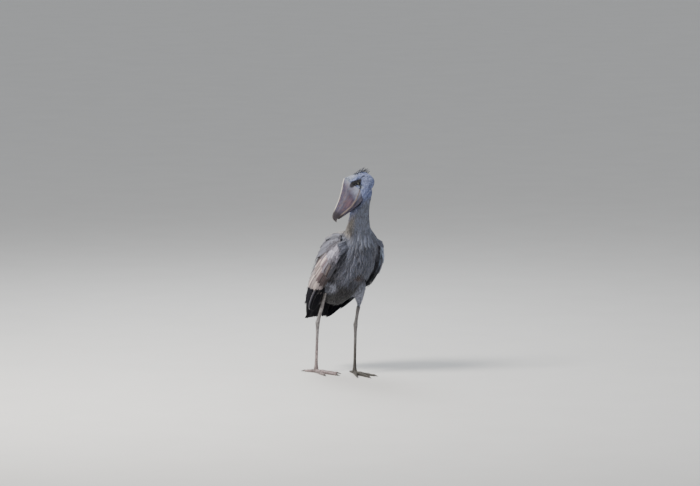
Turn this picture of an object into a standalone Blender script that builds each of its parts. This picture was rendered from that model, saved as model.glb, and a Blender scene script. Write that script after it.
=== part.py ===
"""A shoebill standing in mid stride with its head turned to its right, at life size.

Metres, +Z up. The bird faces -Y. It is modelled round a point on the floor midway between its ankles,
and moved at the end so that the middle of its box is over the origin.
"""

import math

import bmesh
import bpy
from mathutils import Matrix, Vector

# Driving dimensions
GAP = 0.0003  # kept between pieces that touch
AXIS_TILT = math.radians(53)  # the body's axis above the floor
AXIS_FOOT = Vector((0, 0.122, 0.372))  # where the axis leaves the body at the vent
LEAN = 0.040  # how far the chest leans over the front foot, to the bird's left
LEAN_FROM, LEAN_TO = 0.30, 0.65  # heights between which the lean grows

HEAD_AT = Vector((-0.008, -0.194, 1.033))  # between the eyes
HEAD_YAW, HEAD_PITCH, HEAD_ROLL = (math.radians(a) for a in (162, 50, 15))
EYE_RADIUS, EYE_OUT = 0.0135, 0.0375

TARSUS_RADIUS = 0.0078
HUB_DROP = 0.014  # how far the foot's hub reaches below the ankle
TOE_FLAT = 0.0035  # half width of the flat under a toe
MIDDLE_TOE = 0.150

SLATE = (0.235, 0.225, 0.235)
COAT_GREY = (0.300, 0.290, 0.305)
HEAD_GREY = (0.330, 0.345, 0.410)
BILL_HORN = (0.420, 0.370, 0.360)
LEG_GREY = (0.200, 0.185, 0.170)
CLAW_DARK = (0.050, 0.045, 0.045)
TAIL_DARK = (0.045, 0.047, 0.060)


def clear_scene():
    for old in list(bpy.data.objects):
        bpy.data.objects.remove(old)


def material(name, colour, roughness):
    made = bpy.data.materials.get(name) or bpy.data.materials.new(name)
    made.use_nodes = True
    shader = made.node_tree.nodes["Principled BSDF"]
    shader.inputs["Base Color"].default_value = (*colour, 1)
    shader.inputs["Roughness"].default_value = roughness
    shader.inputs["Metallic"].default_value = 0
    return made


def add_object(name, mesh):
    made = bpy.data.objects.new(name, mesh)
    bpy.context.scene.collection.objects.link(made)
    return made


def mesh_from(points, faces):
    """A closed mesh with its faces turned outwards."""
    mesh = bpy.data.meshes.new("shape")
    mesh.from_pydata([tuple(p) for p in points], [], faces)
    work = bmesh.new()
    work.from_mesh(mesh)
    bmesh.ops.recalc_face_normals(work, faces=work.faces)
    if work.calc_volume(signed=True) < 0:
        bmesh.ops.reverse_faces(work, faces=work.faces)
    work.to_mesh(mesh)
    work.free()
    return mesh


def between(rows, at):
    """A smooth curve through rows of numbers, read at a place counted in rows."""
    last = len(rows) - 1
    i = min(max(int(at), 0), last - 1)
    f = at - i
    a, b, c, d = (rows[min(max(k, 0), last)] for k in (i - 1, i, i + 1, i + 2))
    return [
        0.5 * (2 * q + (r - p) * f + (2 * p - 5 * q + 4 * r - s) * f * f + (3 * q - p - 3 * r + s) * f**3)
        for p, q, r, s in zip(a, b, c, d)
    ]


def resampled(rows, count):
    return [between(rows, (len(rows) - 1) * k / (count - 1)) for k in range(count)]


def loft(rings):
    """A closed mesh through rings of equal count, each end closed by a fan."""
    points = [p for ring in rings for p in ring]
    sides = len(rings[0])
    faces = []
    for i in range(len(rings) - 1):
        for j in range(sides):
            k = (j + 1) % sides
            a, b, c, d = i * sides + j, i * sides + k, (i + 1) * sides + k, (i + 1) * sides + j
            faces += [(a, b, c), (a, c, d)]
    for start in (0, (len(rings) - 1) * sides):
        ring = points[start : start + sides]
        points.append(sum(ring, Vector()) / sides)
        hub = len(points) - 1
        for j in range(sides):
            faces.append((hub, start + j, start + (j + 1) % sides))
    return mesh_from(points, faces)


def oval(centre, along, side, half_width, over, under, sides, square=2.0):
    """A ring across `along`: half_width to each side, `over` to the back and `under` to the belly."""
    along = along.normalized()
    side = (side - along * side.dot(along)).normalized()
    back = along.cross(side)
    ring = []
    for k in range(sides):
        angle = 2 * math.pi * k / sides
        c, s = math.cos(angle), math.sin(angle)
        c = math.copysign(abs(c) ** (2 / square), c)
        s = math.copysign(abs(s) ** (2 / square), s)
        ring.append(centre + side * half_width * c + back * (over if s > 0 else under) * s)
    return ring


def tube(stations, sides, side=Vector((1, 0, 0)), square=2.0):
    """A loft through stations of x, y, z, half width, depth over and depth under."""
    rings = []
    for i, row in enumerate(stations):
        before, after = stations[max(i - 1, 0)], stations[min(i + 1, len(stations) - 1)]
        along = Vector(after[:3]) - Vector(before[:3])
        rings.append(oval(Vector(row[:3]), along, side, row[3], row[4], row[5], sides, square))
    return rings


def largest_part(mesh):
    """Keeps the one closed surface of the mesh that holds the most."""
    work = bmesh.new()
    work.from_mesh(mesh)
    bmesh.ops.remove_doubles(work, verts=work.verts, dist=1e-6)
    bmesh.ops.triangulate(work, faces=work.faces)
    left, groups = set(work.faces), []
    while left:
        seed = left.pop()
        group, front = {seed}, [seed]
        while front:
            for edge in front.pop().edges:
                for face in edge.link_faces:
                    if face in left:
                        left.remove(face)
                        group.add(face)
                        front.append(face)
        groups.append(group)
    if len(groups) > 1:
        def volume(group):
            return sum(f.verts[0].co.dot(f.verts[1].co.cross(f.verts[2].co)) for f in group)
        kept = max(groups, key=volume)
        bmesh.ops.delete(work, geom=[f for f in work.faces if f not in kept], context="FACES")
    work.to_mesh(mesh)
    work.free()
    return mesh


def boolean(obj, operation, others):
    """Joins or cuts obj with the other objects, applies the result and removes them."""
    group = bpy.data.collections.new("others")
    bpy.context.scene.collection.children.link(group)
    for other in others:
        for owner in list(other.users_collection):
            owner.objects.unlink(other)
        group.objects.link(other)
    step = obj.modifiers.new("joined", "BOOLEAN")
    step.operation = operation
    step.operand_type = "COLLECTION"
    step.collection = group
    step.solver = "EXACT"
    bpy.context.view_layer.update()
    graph = bpy.context.evaluated_depsgraph_get()
    result = bpy.data.meshes.new_from_object(obj.evaluated_get(graph))
    obj.modifiers.remove(step)
    obj.data = largest_part(result)
    for other in others:
        bpy.data.objects.remove(other)
    bpy.data.collections.remove(group)
    return obj


def swollen(obj, by):
    """A copy of obj, every point moved out by `by`, to cut a neighbour with."""
    copy = add_object("cutter", obj.data.copy())
    normals = [v.normal.copy() for v in copy.data.vertices]
    for vertex, normal in zip(copy.data.vertices, normals):
        vertex.co += normal * by
    return copy


def cut_clear(obj, neighbours, room=1.6 * GAP):
    boolean(obj, "DIFFERENCE", [swollen(n, room) for n in neighbours])


def lean(point):
    """The body's own sideways lean, from none at the legs to all of it at the chest."""
    share = min(max((point.z - LEAN_FROM) / (LEAN_TO - LEAN_FROM), 0), 1)
    return point + Vector((LEAN * share * share * (3 - 2 * share), 0, 0))


def axis_point(distance):
    """A point on the body's axis, this far from the vent towards the neck."""
    return AXIS_FOOT + Vector((0, -math.cos(AXIS_TILT), math.sin(AXIS_TILT))) * distance


# Distance along the axis, half width, depth over the axis and depth under it
TORSO = [
    (0.036, 0.034, 0.026, 0.052),
    (0.080, 0.064, 0.050, 0.104),
    (0.145, 0.090, 0.086, 0.140),
    (0.215, 0.112, 0.112, 0.155),
    (0.280, 0.120, 0.122, 0.146),
    (0.340, 0.118, 0.120, 0.140),
    (0.390, 0.104, 0.112, 0.124),
]
# The neck's own stations: x, y, z, half width, depth behind and depth in front
NECK = [
    (0.000, -0.146, 0.742, 0.088, 0.098, 0.094),
    (-0.012, -0.158, 0.790, 0.068, 0.072, 0.070),
    (-0.018, -0.170, 0.838, 0.057, 0.056, 0.058),
    (-0.021, -0.180, 0.890, 0.053, 0.052, 0.052),
    (-0.019, -0.190, 0.940, 0.052, 0.051, 0.049),
    (-0.008, -0.198, 0.985, 0.048, 0.048, 0.045),
    (0.000, -0.200, 1.020, 0.034, 0.034, 0.032),
]
NECK_FROM = 0.56  # where the neck is parted from the torso, as a share of the whole body line
BODY_RINGS, BODY_SIDES = 29, 24


def body_stations():
    rows = []
    for distance, half_width, over, under in TORSO:
        rows.append((*axis_point(distance), half_width, over, under))
    rows += NECK
    return resampled(rows, BODY_RINGS)


def leaned_rings(rings):
    return [[lean(p) for p in ring] for ring in rings]


def shifted(ring, along, by):
    return [p + along * by for p in ring]


def make_body():
    """Torso and neck, lofted in one and parted at the base of the neck."""
    rings = leaned_rings(tube(body_stations(), BODY_SIDES, square=2.15))
    cut = round(NECK_FROM * (BODY_RINGS - 1))
    centre = [sum(r, Vector()) / len(r) for r in rings]
    along = (centre[cut + 1] - centre[cut - 1]).normalized()
    torso = add_object("torso", loft(rings[:cut] + [shifted(rings[cut], along, -GAP / 2)]))
    neck = add_object("neck", loft([shifted(rings[cut], along, GAP / 2)] + rings[cut + 1 :]))
    return torso, neck


# Head sections along the bill's axis from the back of the skull: place, top, bottom and half width
SKULL = [
    (-0.078, -0.008, -0.040, 0.018),
    (-0.068, 0.018, -0.062, 0.036),
    (-0.050, 0.033, -0.076, 0.045),
    (-0.026, 0.047, -0.080, 0.048),
    (0.002, 0.063, -0.077, 0.047),
    (0.022, 0.073, -0.070, 0.044),
]
# The bill's sections: place, ridge height, mouth line, lower edge and half width
BILL = [
    (0.0223, 0.073, -0.026, -0.070, 0.044),
    (0.045, 0.063, -0.034, -0.074, 0.048),
    (0.080, 0.045, -0.043, -0.073, 0.050),
    (0.120, 0.029, -0.045, -0.066, 0.049),
    (0.160, 0.017, -0.037, -0.055, 0.044),
    (0.193, 0.009, -0.030, -0.044, 0.035),
    (0.216, -0.001, -0.027, -0.035, 0.023),
]
BILL_RINGS = 11
HOOK = [(0.225, -0.010, -0.033, 0.0135), (0.2295, -0.020, -0.0375, 0.0065)]


def head_matrix():
    turn = (
        Matrix.Rotation(HEAD_YAW, 4, "Z")
        @ Matrix.Rotation(HEAD_PITCH, 4, "Y")
        @ Matrix.Rotation(HEAD_ROLL, 4, "X")
    )
    return Matrix.Translation(HEAD_AT) @ turn


def section(x, top, bottom, half_width, sides, square, waist=0.5):
    """An upright ring across the head's own x, widest at `waist` of its height."""
    middle = bottom + (top - bottom) * waist
    ring = []
    for k in range(sides):
        angle = 2 * math.pi * k / sides
        c, s = math.cos(angle), math.sin(angle)
        c = math.copysign(abs(c) ** (2 / square), c)
        s = math.copysign(abs(s) ** (2 / square), s)
        height = (top - middle) if s > 0 else (middle - bottom)
        ring.append(Vector((x, half_width * c, middle + height * s)))
    return ring


# A bar over each eye and the two lids, in the head's own frame for the left side
BROW = [
    (-0.032, 0.0400, 0.008, 0.0026), (-0.018, 0.0440, 0.019, 0.0042),
    (0.000, 0.0450, 0.0235, 0.0050), (0.0155, 0.0430, 0.020, 0.0030),
]
LID_RADIUS, LID_OUT, LID_THICK = 0.0116, 0.0086, 0.0030
LID_STEPS = 6
GAPE = [(0.0225, 0.0450, -0.0270), (0.010, 0.0470, -0.0290), (-0.016, 0.0480, -0.0340)]
GAPE_RADIUS = 0.0024
NOSTRIL = [(0.043, 0.0125, 0.0540), (0.053, 0.0130, 0.0505), (0.063, 0.0125, 0.0460)]
NOSTRIL_RADIUS = 0.0024
CREST_COUNT, CREST_LENGTH, CREST_HALF = 5, 0.046, 0.0048


def bar(line, sides, side):
    """A round bar through x, y, z and radius, on the given side of the head."""
    stations = [(x, y * side, z, r, r, r) for x, y, z, r in line]
    return add_object("bar", loft(tube(stations, sides, Vector((0, 0, 1)))))


def lids(side):
    pieces = []
    for start in (-12, 168):
        line = []
        for k in range(LID_STEPS):
            f = k / (LID_STEPS - 1)
            angle = math.radians(start + 204 * f)
            thick = LID_THICK * (0.55 + 0.45 * math.sin(math.pi * f))
            x = 0.002 + LID_RADIUS * 1.12 * math.cos(angle)
            line.append((x, EYE_OUT + LID_OUT, 0.004 + LID_RADIUS * math.sin(angle), thick))
        pieces.append(bar(line, 5, side))
    return pieces


def crest():
    """A few loose feathers standing off the back of the crown."""
    pieces = []
    for k in range(CREST_COUNT):
        f = 2 * k / (CREST_COUNT - 1) - 1
        ahead = Vector((-0.92, 0.48 * f, 0.26 + 0.10 * math.cos(9 * k))).normalized()
        length = CREST_LENGTH * (1 - 0.22 * f * f)

        def path(at, f=f, ahead=ahead, length=length):
            root = Vector((-0.048, 0.018 * f, 0.020))
            return root + ahead * length * at + Vector((0, 0, -0.010 * at * at)), Vector((0.3, 0, 1))

        pieces.append(vane(path, CREST_HALF, 0, SHORT_BLADE))
    return pieces


def make_skull():
    rows = resampled(SKULL, 11)
    rings = [section(x, top, bottom, half, 22, 2.2) for x, top, bottom, half in rows]
    skull = add_object("head", loft(rings))
    extra = crest()
    for side in (1, -1):
        extra.append(bar(BROW, 8, side))
        extra += lids(side)
    boolean(skull, "UNION", extra)
    gapes = [bar([(*p, GAPE_RADIUS) for p in GAPE], 6, side) for side in (1, -1)]
    return boolean(skull, "DIFFERENCE", gapes)


def make_upper_bill():
    rings = []
    for x, ridge, mouth, _, half in resampled(BILL, BILL_RINGS):
        rings.append(bill_ring(x, ridge, mouth, half, True))
    for x, ridge, bottom, half in HOOK:
        rings.append(bill_ring(x, ridge, bottom, half, True))
    slits = [bar([(*p, NOSTRIL_RADIUS) for p in NOSTRIL], 6, side) for side in (1, -1)]
    return boolean(add_object("bill_upper", loft(rings)), "DIFFERENCE", slits)


def bill_ring(x, top, edge, half, upper):
    """A vaulted section with a raised ridge on the upper bill, or a trough for the lower one."""
    height = top - edge
    if upper:
        profile = [
            (1.0, 0.0), (0.985, 0.22), (0.90, 0.50), (0.70, 0.74), (0.42, 0.88), (0.20, 0.93), (0.13, 1.0),
        ]
    else:
        profile = [(1.0, 1.0), (0.97, 0.70), (0.84, 0.38), (0.58, 0.13), (0.25, 0.02)]
    right = [Vector((x, half * y, edge + height * z)) for y, z in profile]
    left = [Vector((x, -half * y, edge + height * z)) for y, z in reversed(profile)]
    return right + left


def make_lower_bill():
    rings = []
    for x, _, mouth, bottom, half in resampled(BILL, BILL_RINGS)[:-1]:
        rings.append(bill_ring(x, mouth - GAP, bottom, half * 0.95, False))
    return add_object("bill_lower", loft(rings))


def make_eye(side):
    work = bmesh.new()
    place = Matrix.Translation((0.002, side * EYE_OUT, 0.004))
    bmesh.ops.create_uvsphere(work, u_segments=12, v_segments=8, radius=EYE_RADIUS, matrix=place)
    mesh = bpy.data.meshes.new("eye")
    work.to_mesh(mesh)
    work.free()
    return add_object("eye_left" if side > 0 else "eye_right", mesh)


# The left wing's outer face, as three lines from the bend to the tip: lower edge, middle and upper edge
WING_LOWER = [
    (0.124, -0.158, 0.684), (0.150, -0.112, 0.556), (0.124, -0.006, 0.452),
    (0.070, 0.098, 0.364), (0.034, 0.194, 0.272),
]
WING_MIDDLE = [
    (0.130, -0.134, 0.718), (0.168, -0.062, 0.626), (0.152, 0.046, 0.522),
    (0.100, 0.138, 0.410), (0.040, 0.206, 0.280),
]
WING_UPPER = [
    (0.092, -0.090, 0.756), (0.070, 0.026, 0.722), (0.040, 0.128, 0.618),
    (0.024, 0.194, 0.474), (0.030, 0.220, 0.290),
]
LEFT_WING_SHIFT = Vector((0.010, -0.018, 0))  # the left wing hangs a little further out and forward
# How far the lower edge of each wing droops from the lines, from bend to tip
LEFT_DROOP = [(0, 0, 0), (0, 0, 0), (0.012, 0, -0.030), (0.030, 0, -0.026), (0.030, -0.002, -0.010)]
RIGHT_DROOP = [(0, 0, 0), (0, 0, -0.004), (0, 0, -0.020), (0, 0, -0.026), (0, 0, -0.006)]


def wing_place(point, side):
    """Takes a point of the left wing's shape to the wing on this side."""
    moved = Vector((point.x * side, point.y, point.z))
    return lean(moved + LEFT_WING_SHIFT) if side > 0 else lean(moved)


def wing_point(s, t, side):
    """A place on a wing's outer face, as on the left: s runs from bend to tip, t from lower to upper edge."""
    low, mid, top = (Vector(between(line, 4 * s)) for line in (WING_LOWER, WING_MIDDLE, WING_UPPER))
    crown = 2 * mid - (low + top) / 2
    droop = Vector(between(LEFT_DROOP if side > 0 else RIGHT_DROOP, 4 * s)) * (1 - t)
    return low * (1 - t) ** 2 + crown * 2 * t * (1 - t) + top * t * t + droop


def wing_out(s, t, side):
    step = 0.004
    along = wing_point(min(s + step, 1), t, side) - wing_point(max(s - step, 0), t, side)
    across = wing_point(s, min(t + step, 1), side) - wing_point(s, max(t - step, 0), side)
    return along.cross(across).normalized()


def make_wing_core(side):
    """The arm and the soft feathers round it, from the bend to where only long feathers go on."""
    along_count, across_count = 10, 8
    points, faces = [], []
    for face_side in (0, 1):
        for i in range(along_count):
            s = 0.60 * i / (along_count - 1)
            for j in range(across_count):
                t = 0.03 + 0.94 * j / (across_count - 1)
                edge = math.sin(math.pi * (0.06 + 0.88 * t))
                edge *= math.sin(math.pi * (0.10 + 0.86 * i / (along_count - 1)))
                depth = 0.0025 if face_side == 0 else 0.0065 + 0.048 * edge
                points.append(wing_point(s, t, side) - wing_out(s, t, side) * depth)
    half = along_count * across_count
    for i in range(along_count - 1):
        for j in range(across_count - 1):
            a = i * across_count + j
            b, c, d = a + 1, a + across_count + 1, a + across_count
            faces += [(a, b, c), (a, c, d)]
            faces += [(a + half, c + half, b + half), (a + half, d + half, c + half)]
    rim = [j for j in range(across_count)]
    rim += [i * across_count + across_count - 1 for i in range(1, along_count)]
    rim += [(along_count - 1) * across_count + j for j in range(across_count - 2, -1, -1)]
    rim += [i * across_count for i in range(along_count - 2, 0, -1)]
    for k, a in enumerate(rim):
        b = rim[(k + 1) % len(rim)]
        faces += [(a, b, b + half), (a, b + half, a + half)]
    points = [wing_place(p, side) for p in points]
    return add_object("wing_left" if side > 0 else "wing_right", mesh_from(points, faces))


EDGE_THICK, SHAFT_THICK = 0.0007, 0.0019
# Places along a feather, each with its share of the width
BLADE = [(0.0, 0.50), (0.42, 0.96), (0.84, 0.86), (1.0, 0.34)]
SHORT_BLADE = [(0.0, 0.60), (0.74, 1.0), (1.0, 0.45)]


def vane(path, half_width, tilt, blade):
    """A feather as a closed thin blade. path(f) gives a point on it and the way out from the body;
    tilt lifts its lower edge and drops its upper one, so that neighbours overlap."""
    rings = []
    for f, share in blade:
        point, out = path(f)
        ahead, _ = path(min(f + 0.02, 1.02))
        behind, _ = path(max(f - 0.02, -0.02))
        along = (ahead - behind).normalized()
        across = out.cross(along).normalized()
        up = along.cross(across)
        ring = []
        for place, thick in ((-1, EDGE_THICK), (0, SHAFT_THICK), (1, EDGE_THICK)):
            centre = point + across * half_width * share * place + up * tilt * share * place
            ring.append((centre + up * thick / 2, centre - up * thick / 2))
        rings.append(ring)
    points, faces = [], []
    for ring in rings:
        points += [ring[0][0], ring[1][0], ring[2][0], ring[0][1], ring[1][1], ring[2][1]]
    for i in range(len(rings) - 1):
        n = 6 * i
        for j in (0, 1):
            a, b, c, d = n + j, n + j + 1, n + 7 + j, n + 6 + j
            faces += [(a, b, c), (a, c, d)]
            a, b, c, d = (v + 3 for v in (a, b, c, d))
            faces += [(a, c, b), (a, d, c)]
        for top in (0, 2):
            a, b = n + top, n + top + 3
            faces += [(a, b, b + 6), (a, b + 6, a + 6)]
    for n in (0, 6 * (len(rings) - 1)):
        faces += [(n, n + 1, n + 4), (n, n + 4, n + 3), (n + 1, n + 2, n + 5), (n + 1, n + 5, n + 4)]
    return add_object("vane", mesh_from(points, faces))


# Rows of feathers on the folded wing, from the front: count, root s, tip s, first and last t at the root,
# first and last t at the tip, half width, height at the root and at the tip
WING_ROWS = [
    ("lesser", 5, 0.050, 0.230, 0.09, 0.80, 0.08, 0.82, 0.0250, -0.0060, 0.0085),
    ("median", 5, 0.175, 0.390, 0.08, 0.76, 0.07, 0.77, 0.0250, -0.0060, 0.0085),
    ("greater", 6, 0.320, 0.555, 0.07, 0.76, 0.06, 0.77, 0.0220, -0.0060, 0.0080),
    ("secondary", 5, 0.450, 0.800, 0.08, 0.60, 0.10, 0.62, 0.0225, -0.0060, 0.0035),
    ("tertial", 3, 0.430, 0.860, 0.72, 0.93, 0.66, 0.88, 0.0240, -0.0060, 0.0060),
    ("primary", 5, 0.540, 0.900, 0.14, 0.52, 0.14, 0.58, 0.0160, -0.0085, -0.0020),
    ("scapular", 3, 0.120, 0.520, 0.91, 0.98, 0.82, 0.98, 0.0280, -0.0060, 0.0125),
]
FEATHER_ROOM = 0.0012  # kept from the wing to the body and to other feathers
PRIMARY_STEP = 0.022  # how much further each primary reaches than the one before
TILT = 0.0022


def wing_row(side, name, count, s0, s1, t0, t1, u0, u1, half_width, low, high):
    pieces = []
    blade = SHORT_BLADE if name in ("lesser", "median", "greater") else BLADE
    for k in range(count):
        f = k / (count - 1)
        root_t, tip_t = t0 + (t1 - t0) * f, u0 + (u1 - u0) * f
        root_s, tip_s = s0 + 0.008 * math.sin(7 * k), s1 + 0.006 * math.sin(5 * k + 1)
        if name == "primary":
            tip_s = min(1.0, 0.995 - PRIMARY_STEP * abs(k - 2.0))
        if name == "scapular":
            root_s, tip_s = s0 + 0.11 * (1 - f), s1 + 0.14 * (1 - f)

        def path(at, rs=root_s, ts=tip_s, rt=root_t, tt=tip_t):
            s, t = rs + (ts - rs) * at, rt + (tt - rt) * at
            out = wing_out(min(s, 0.995), min(max(t, 0.01), 0.99), side)
            point = wing_point(s, t, side) + out * (low + (high - low) * at)
            return wing_place(point, side), out * Vector((side, 1, 1))

        pieces.append(vane(path, half_width, TILT * side, blade))
    return pieces


def make_wing(side, neighbours):
    core = make_wing_core(side)
    feathers = [piece for row in WING_ROWS for piece in wing_row(side, *row)]
    boolean(core, "UNION", feathers)
    cut_clear(core, neighbours, FEATHER_ROOM)
    return core


TAIL_COUNT, TAIL_LENGTH, TAIL_HALF = 8, 0.170, 0.0175
TAIL_LAYER = 0.0019  # how much lower each feather lies than the next one in


def make_tail(neighbours):
    """Rump and tail feathers, the middle pair on top."""
    rows = [(0.060, 0.034, 0.030, 0.030), (0.020, 0.036, 0.020, 0.022), (-0.030, 0.030, 0.010, 0.010)]
    stations = [(*axis_point(d), w, o, u) for d, w, o, u in resampled(rows, 6)]
    core = add_object("tail", loft(tube(stations, 12)))
    down = axis_point(0) - axis_point(1)
    back = Vector((0, math.sin(AXIS_TILT), math.cos(AXIS_TILT)))
    pieces = []
    for k in range(TAIL_COUNT):
        f = 2 * k / (TAIL_COUNT - 1) - 1
        length = TAIL_LENGTH * (1 - 0.06 * f * f)
        layer = abs(k - (TAIL_COUNT - 1.2) / 2) * TAIL_LAYER

        def path(at, f=f, length=length, layer=layer):
            point = axis_point(0.050) + down * length * at
            point += Vector((f * (0.022 + 0.046 * at), 0, 0)) + back * (0.006 - layer)
            return point, (back + Vector((0.25 * f, 0, 0))).normalized()

        pieces.append(vane(path, TAIL_HALF, 0, BLADE))
    boolean(core, "UNION", pieces)
    cut_clear(core, neighbours)
    return core


# Each leg's line from inside the body down: the thigh, where its feathers end, the heel and the ankle
LEFT_LEG = [
    (0.066, -0.050, 0.575), (0.070, -0.098, 0.500), (0.072, -0.107, 0.392),
    (0.072, -0.076, 0.268), (0.072, -0.068, 0.020),
]
RIGHT_LEG = [
    (-0.036, 0.000, 0.580), (-0.046, -0.010, 0.520), (-0.051, 0.010, 0.466),
    (-0.056, 0.086, 0.272), (-0.055, 0.102, 0.020),
]


def make_leg(side, torso):
    """One line from inside the body to the ankle, parted at the end of the feathers and at the heel."""
    name = "left" if side > 0 else "right"
    line = [Vector(p) for p in (LEFT_LEG if side > 0 else RIGHT_LEG)]
    root, knee, garter, heel, ankle = line
    start = garter + (heel - garter).normalized() * 0.028
    under = ankle + (ankle - heel).normalized() * HUB_DROP
    rows = [
        (*root, 0.046, 0.050, 0.050), (*knee, 0.046, 0.052, 0.050),
        (*knee.lerp(garter, 0.6), 0.034, 0.038, 0.036),
        (*garter, 0.0190, 0.0210, 0.0200), (*start, 0.0108, 0.0118, 0.0116),
        (*start.lerp(heel, 0.5), 0.0084, 0.0094, 0.0092), (*start.lerp(heel, 0.85), 0.0092, 0.0102, 0.0102),
        (*heel, 0.0120, 0.0135, 0.0130), (*heel.lerp(ankle, 0.08), 0.0100, 0.0110, 0.0110),
        (*heel.lerp(ankle, 0.25), TARSUS_RADIUS, 0.0085, 0.0085),
        (*heel.lerp(ankle, 0.75), TARSUS_RADIUS, 0.0085, 0.0085),
        (*heel.lerp(ankle, 0.93), 0.0100, 0.0105, 0.0105), (*ankle, 0.0130, 0.0140, 0.0130),
        (*under, 0.0100, 0.0100, 0.0100),
    ]
    garter_cut, heel_cut = 2 * 4, 2 * 7
    rings = tube(resampled(rows, 2 * len(rows) - 1), 12)
    centre = [sum(r, Vector()) / len(r) for r in rings]
    parts, cuts = [], [0, garter_cut, heel_cut, len(rings) - 1]
    for part, first, last in zip(("thigh", "shank", "tarsus"), cuts, cuts[1:]):
        piece = [list(r) for r in rings[first : last + 1]]
        if first:
            piece[0] = shifted(piece[0], (centre[first + 1] - centre[first - 1]).normalized(), GAP / 2)
        if last < len(rings) - 1:
            piece[-1] = shifted(piece[-1], (centre[last + 1] - centre[last - 1]).normalized(), -GAP / 2)
        parts.append(add_object(f"{part}_{name}", loft(piece)))
    cut_clear(parts[0], [torso])
    cut_clear(torso, [parts[1]])
    return parts[0], parts[2], ankle


# Toes: turn from straight ahead, length to the claw, half width at the root
TOES = [
    ("middle", 0, MIDDLE_TOE, 0.0095), ("inner", -24, 0.118, 0.0088),
    ("outer", 25, 0.126, 0.0088), ("hind", 168, 0.070, 0.0078),
]
CLAW = 0.026
TOE_RINGS, CLAW_RINGS = 8, 5


def toe_ring(centre, ahead, half_width, height):
    """A toe's section, standing on a narrow flat at the floor."""
    side = Vector((0, 0, 1)).cross(ahead)
    flat = TOE_FLAT * half_width / 0.0088
    profile = [
        (flat, 0), (half_width * 0.85, 0.22), (half_width, 0.52), (half_width * 0.72, 0.85), (0, 1),
        (-half_width * 0.72, 0.85), (-half_width, 0.52), (-half_width * 0.85, 0.22), (-flat, 0),
    ]
    return [Vector((centre.x, centre.y, 0)) + side * x + Vector((0, 0, height * z)) for x, z in profile]


def make_foot(side, tarsus, ankle):
    name = "left" if side > 0 else "right"
    placed = [tarsus]
    for toe, turn, length, half in TOES:
        angle = math.radians(turn) * (1 if side > 0 else -1) + math.radians(-8 * side)
        ahead = Vector((math.sin(angle), -math.cos(angle), 0))
        rings = []
        for k in range(TOE_RINGS):
            f = k / (TOE_RINGS - 1)
            knuckle = 1 + 0.16 * math.cos(2 * math.pi * 3 * f)
            wide = half * (1 - 0.42 * f) * knuckle
            tall = (0.0215 - 0.0105 * f) * (1 + 0.10 * math.cos(2 * math.pi * 3 * f))
            rings.append(toe_ring(ankle + ahead * (0.004 + (length - 0.004) * f), ahead, wide, tall))
        piece = add_object(f"toe_{toe}_{name}", loft(rings))
        cut_clear(piece, placed)
        placed.append(piece)
        tip = ankle + ahead * (length + GAP)
        claw = []
        for k in range(CLAW_RINGS):
            f = k / (CLAW_RINGS - 1)
            centre = tip + ahead * CLAW * f
            size = (0.0050 * (1 - f) + 0.0007) * (1 - 0.15 * f)
            height = 0.0056 * (1 - f) ** 0.8 + 0.0016
            at = Vector((centre.x, centre.y, height))
            slope = ahead - Vector((0, 0, 0.35 * f))
            across = Vector((0, 0, 1)).cross(ahead)
            claw.append(oval(at, slope, across, size, size, min(size, height - 0.0004), 7))
        add_object(f"claw_{toe}_{name}", loft(claw))


def set_materials():
    finishes = {
        "torso": ("body feathers", COAT_GREY, 0.85), "neck": ("body feathers", COAT_GREY, 0.85),
        "thigh": ("body feathers", COAT_GREY, 0.85), "head": ("head feathers", HEAD_GREY, 0.85),
        "wing": ("wing feathers", SLATE, 0.75), "tail": ("tail feathers", TAIL_DARK, 0.7),
        "bill": ("bill", BILL_HORN, 0.45), "eye": ("eye", (0.35, 0.33, 0.22), 0.1),
        "shank": ("leg skin", LEG_GREY, 0.7), "tarsus": ("leg skin", LEG_GREY, 0.7),
        "toe": ("leg skin", LEG_GREY, 0.7), "claw": ("claw", CLAW_DARK, 0.4),
    }
    for obj in bpy.data.objects:
        name, colour, roughness = finishes[obj.name.split("_")[0]]
        obj.data.materials.clear()
        obj.data.materials.append(material(name, colour, roughness))


def centre_on_origin():
    """Moves everything so that the box's middle is over the origin and its bottom on the floor."""
    points = [v.co for o in bpy.data.objects for v in o.data.vertices]
    low = Vector(min(p[i] for p in points) for i in range(3))
    high = Vector(max(p[i] for p in points) for i in range(3))
    shift = Matrix.Translation(-Vector(((low.x + high.x) / 2, (low.y + high.y) / 2, low.z)))
    for obj in bpy.data.objects:
        obj.data.transform(shift)


def main():
    clear_scene()
    torso, neck = make_body()
    head = make_skull()
    placed = head_matrix()
    upper, lower = make_upper_bill(), make_lower_bill()
    for obj in (head, upper, lower):
        obj.data.transform(placed)
    cut_clear(neck, [head, upper, lower])
    for side in (1, -1):
        eye = make_eye(side)
        eye.data.transform(placed)
        cut_clear(head, [eye])
    thighs = []
    for side in (1, -1):
        thigh, tarsus, ankle = make_leg(side, torso)
        make_foot(side, tarsus, ankle)
        thighs.append(thigh)
    tail = make_tail([torso])
    left = make_wing(1, [torso, neck, tail, *thighs])
    make_wing(-1, [torso, neck, tail, left, *thighs])
    set_materials()
    centre_on_origin()


main()
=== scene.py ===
import math
import random

import bmesh
import bpy
import numpy as np
from mathutils import Matrix, Vector, noise
from mathutils.bvhtree import BVHTree


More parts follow.
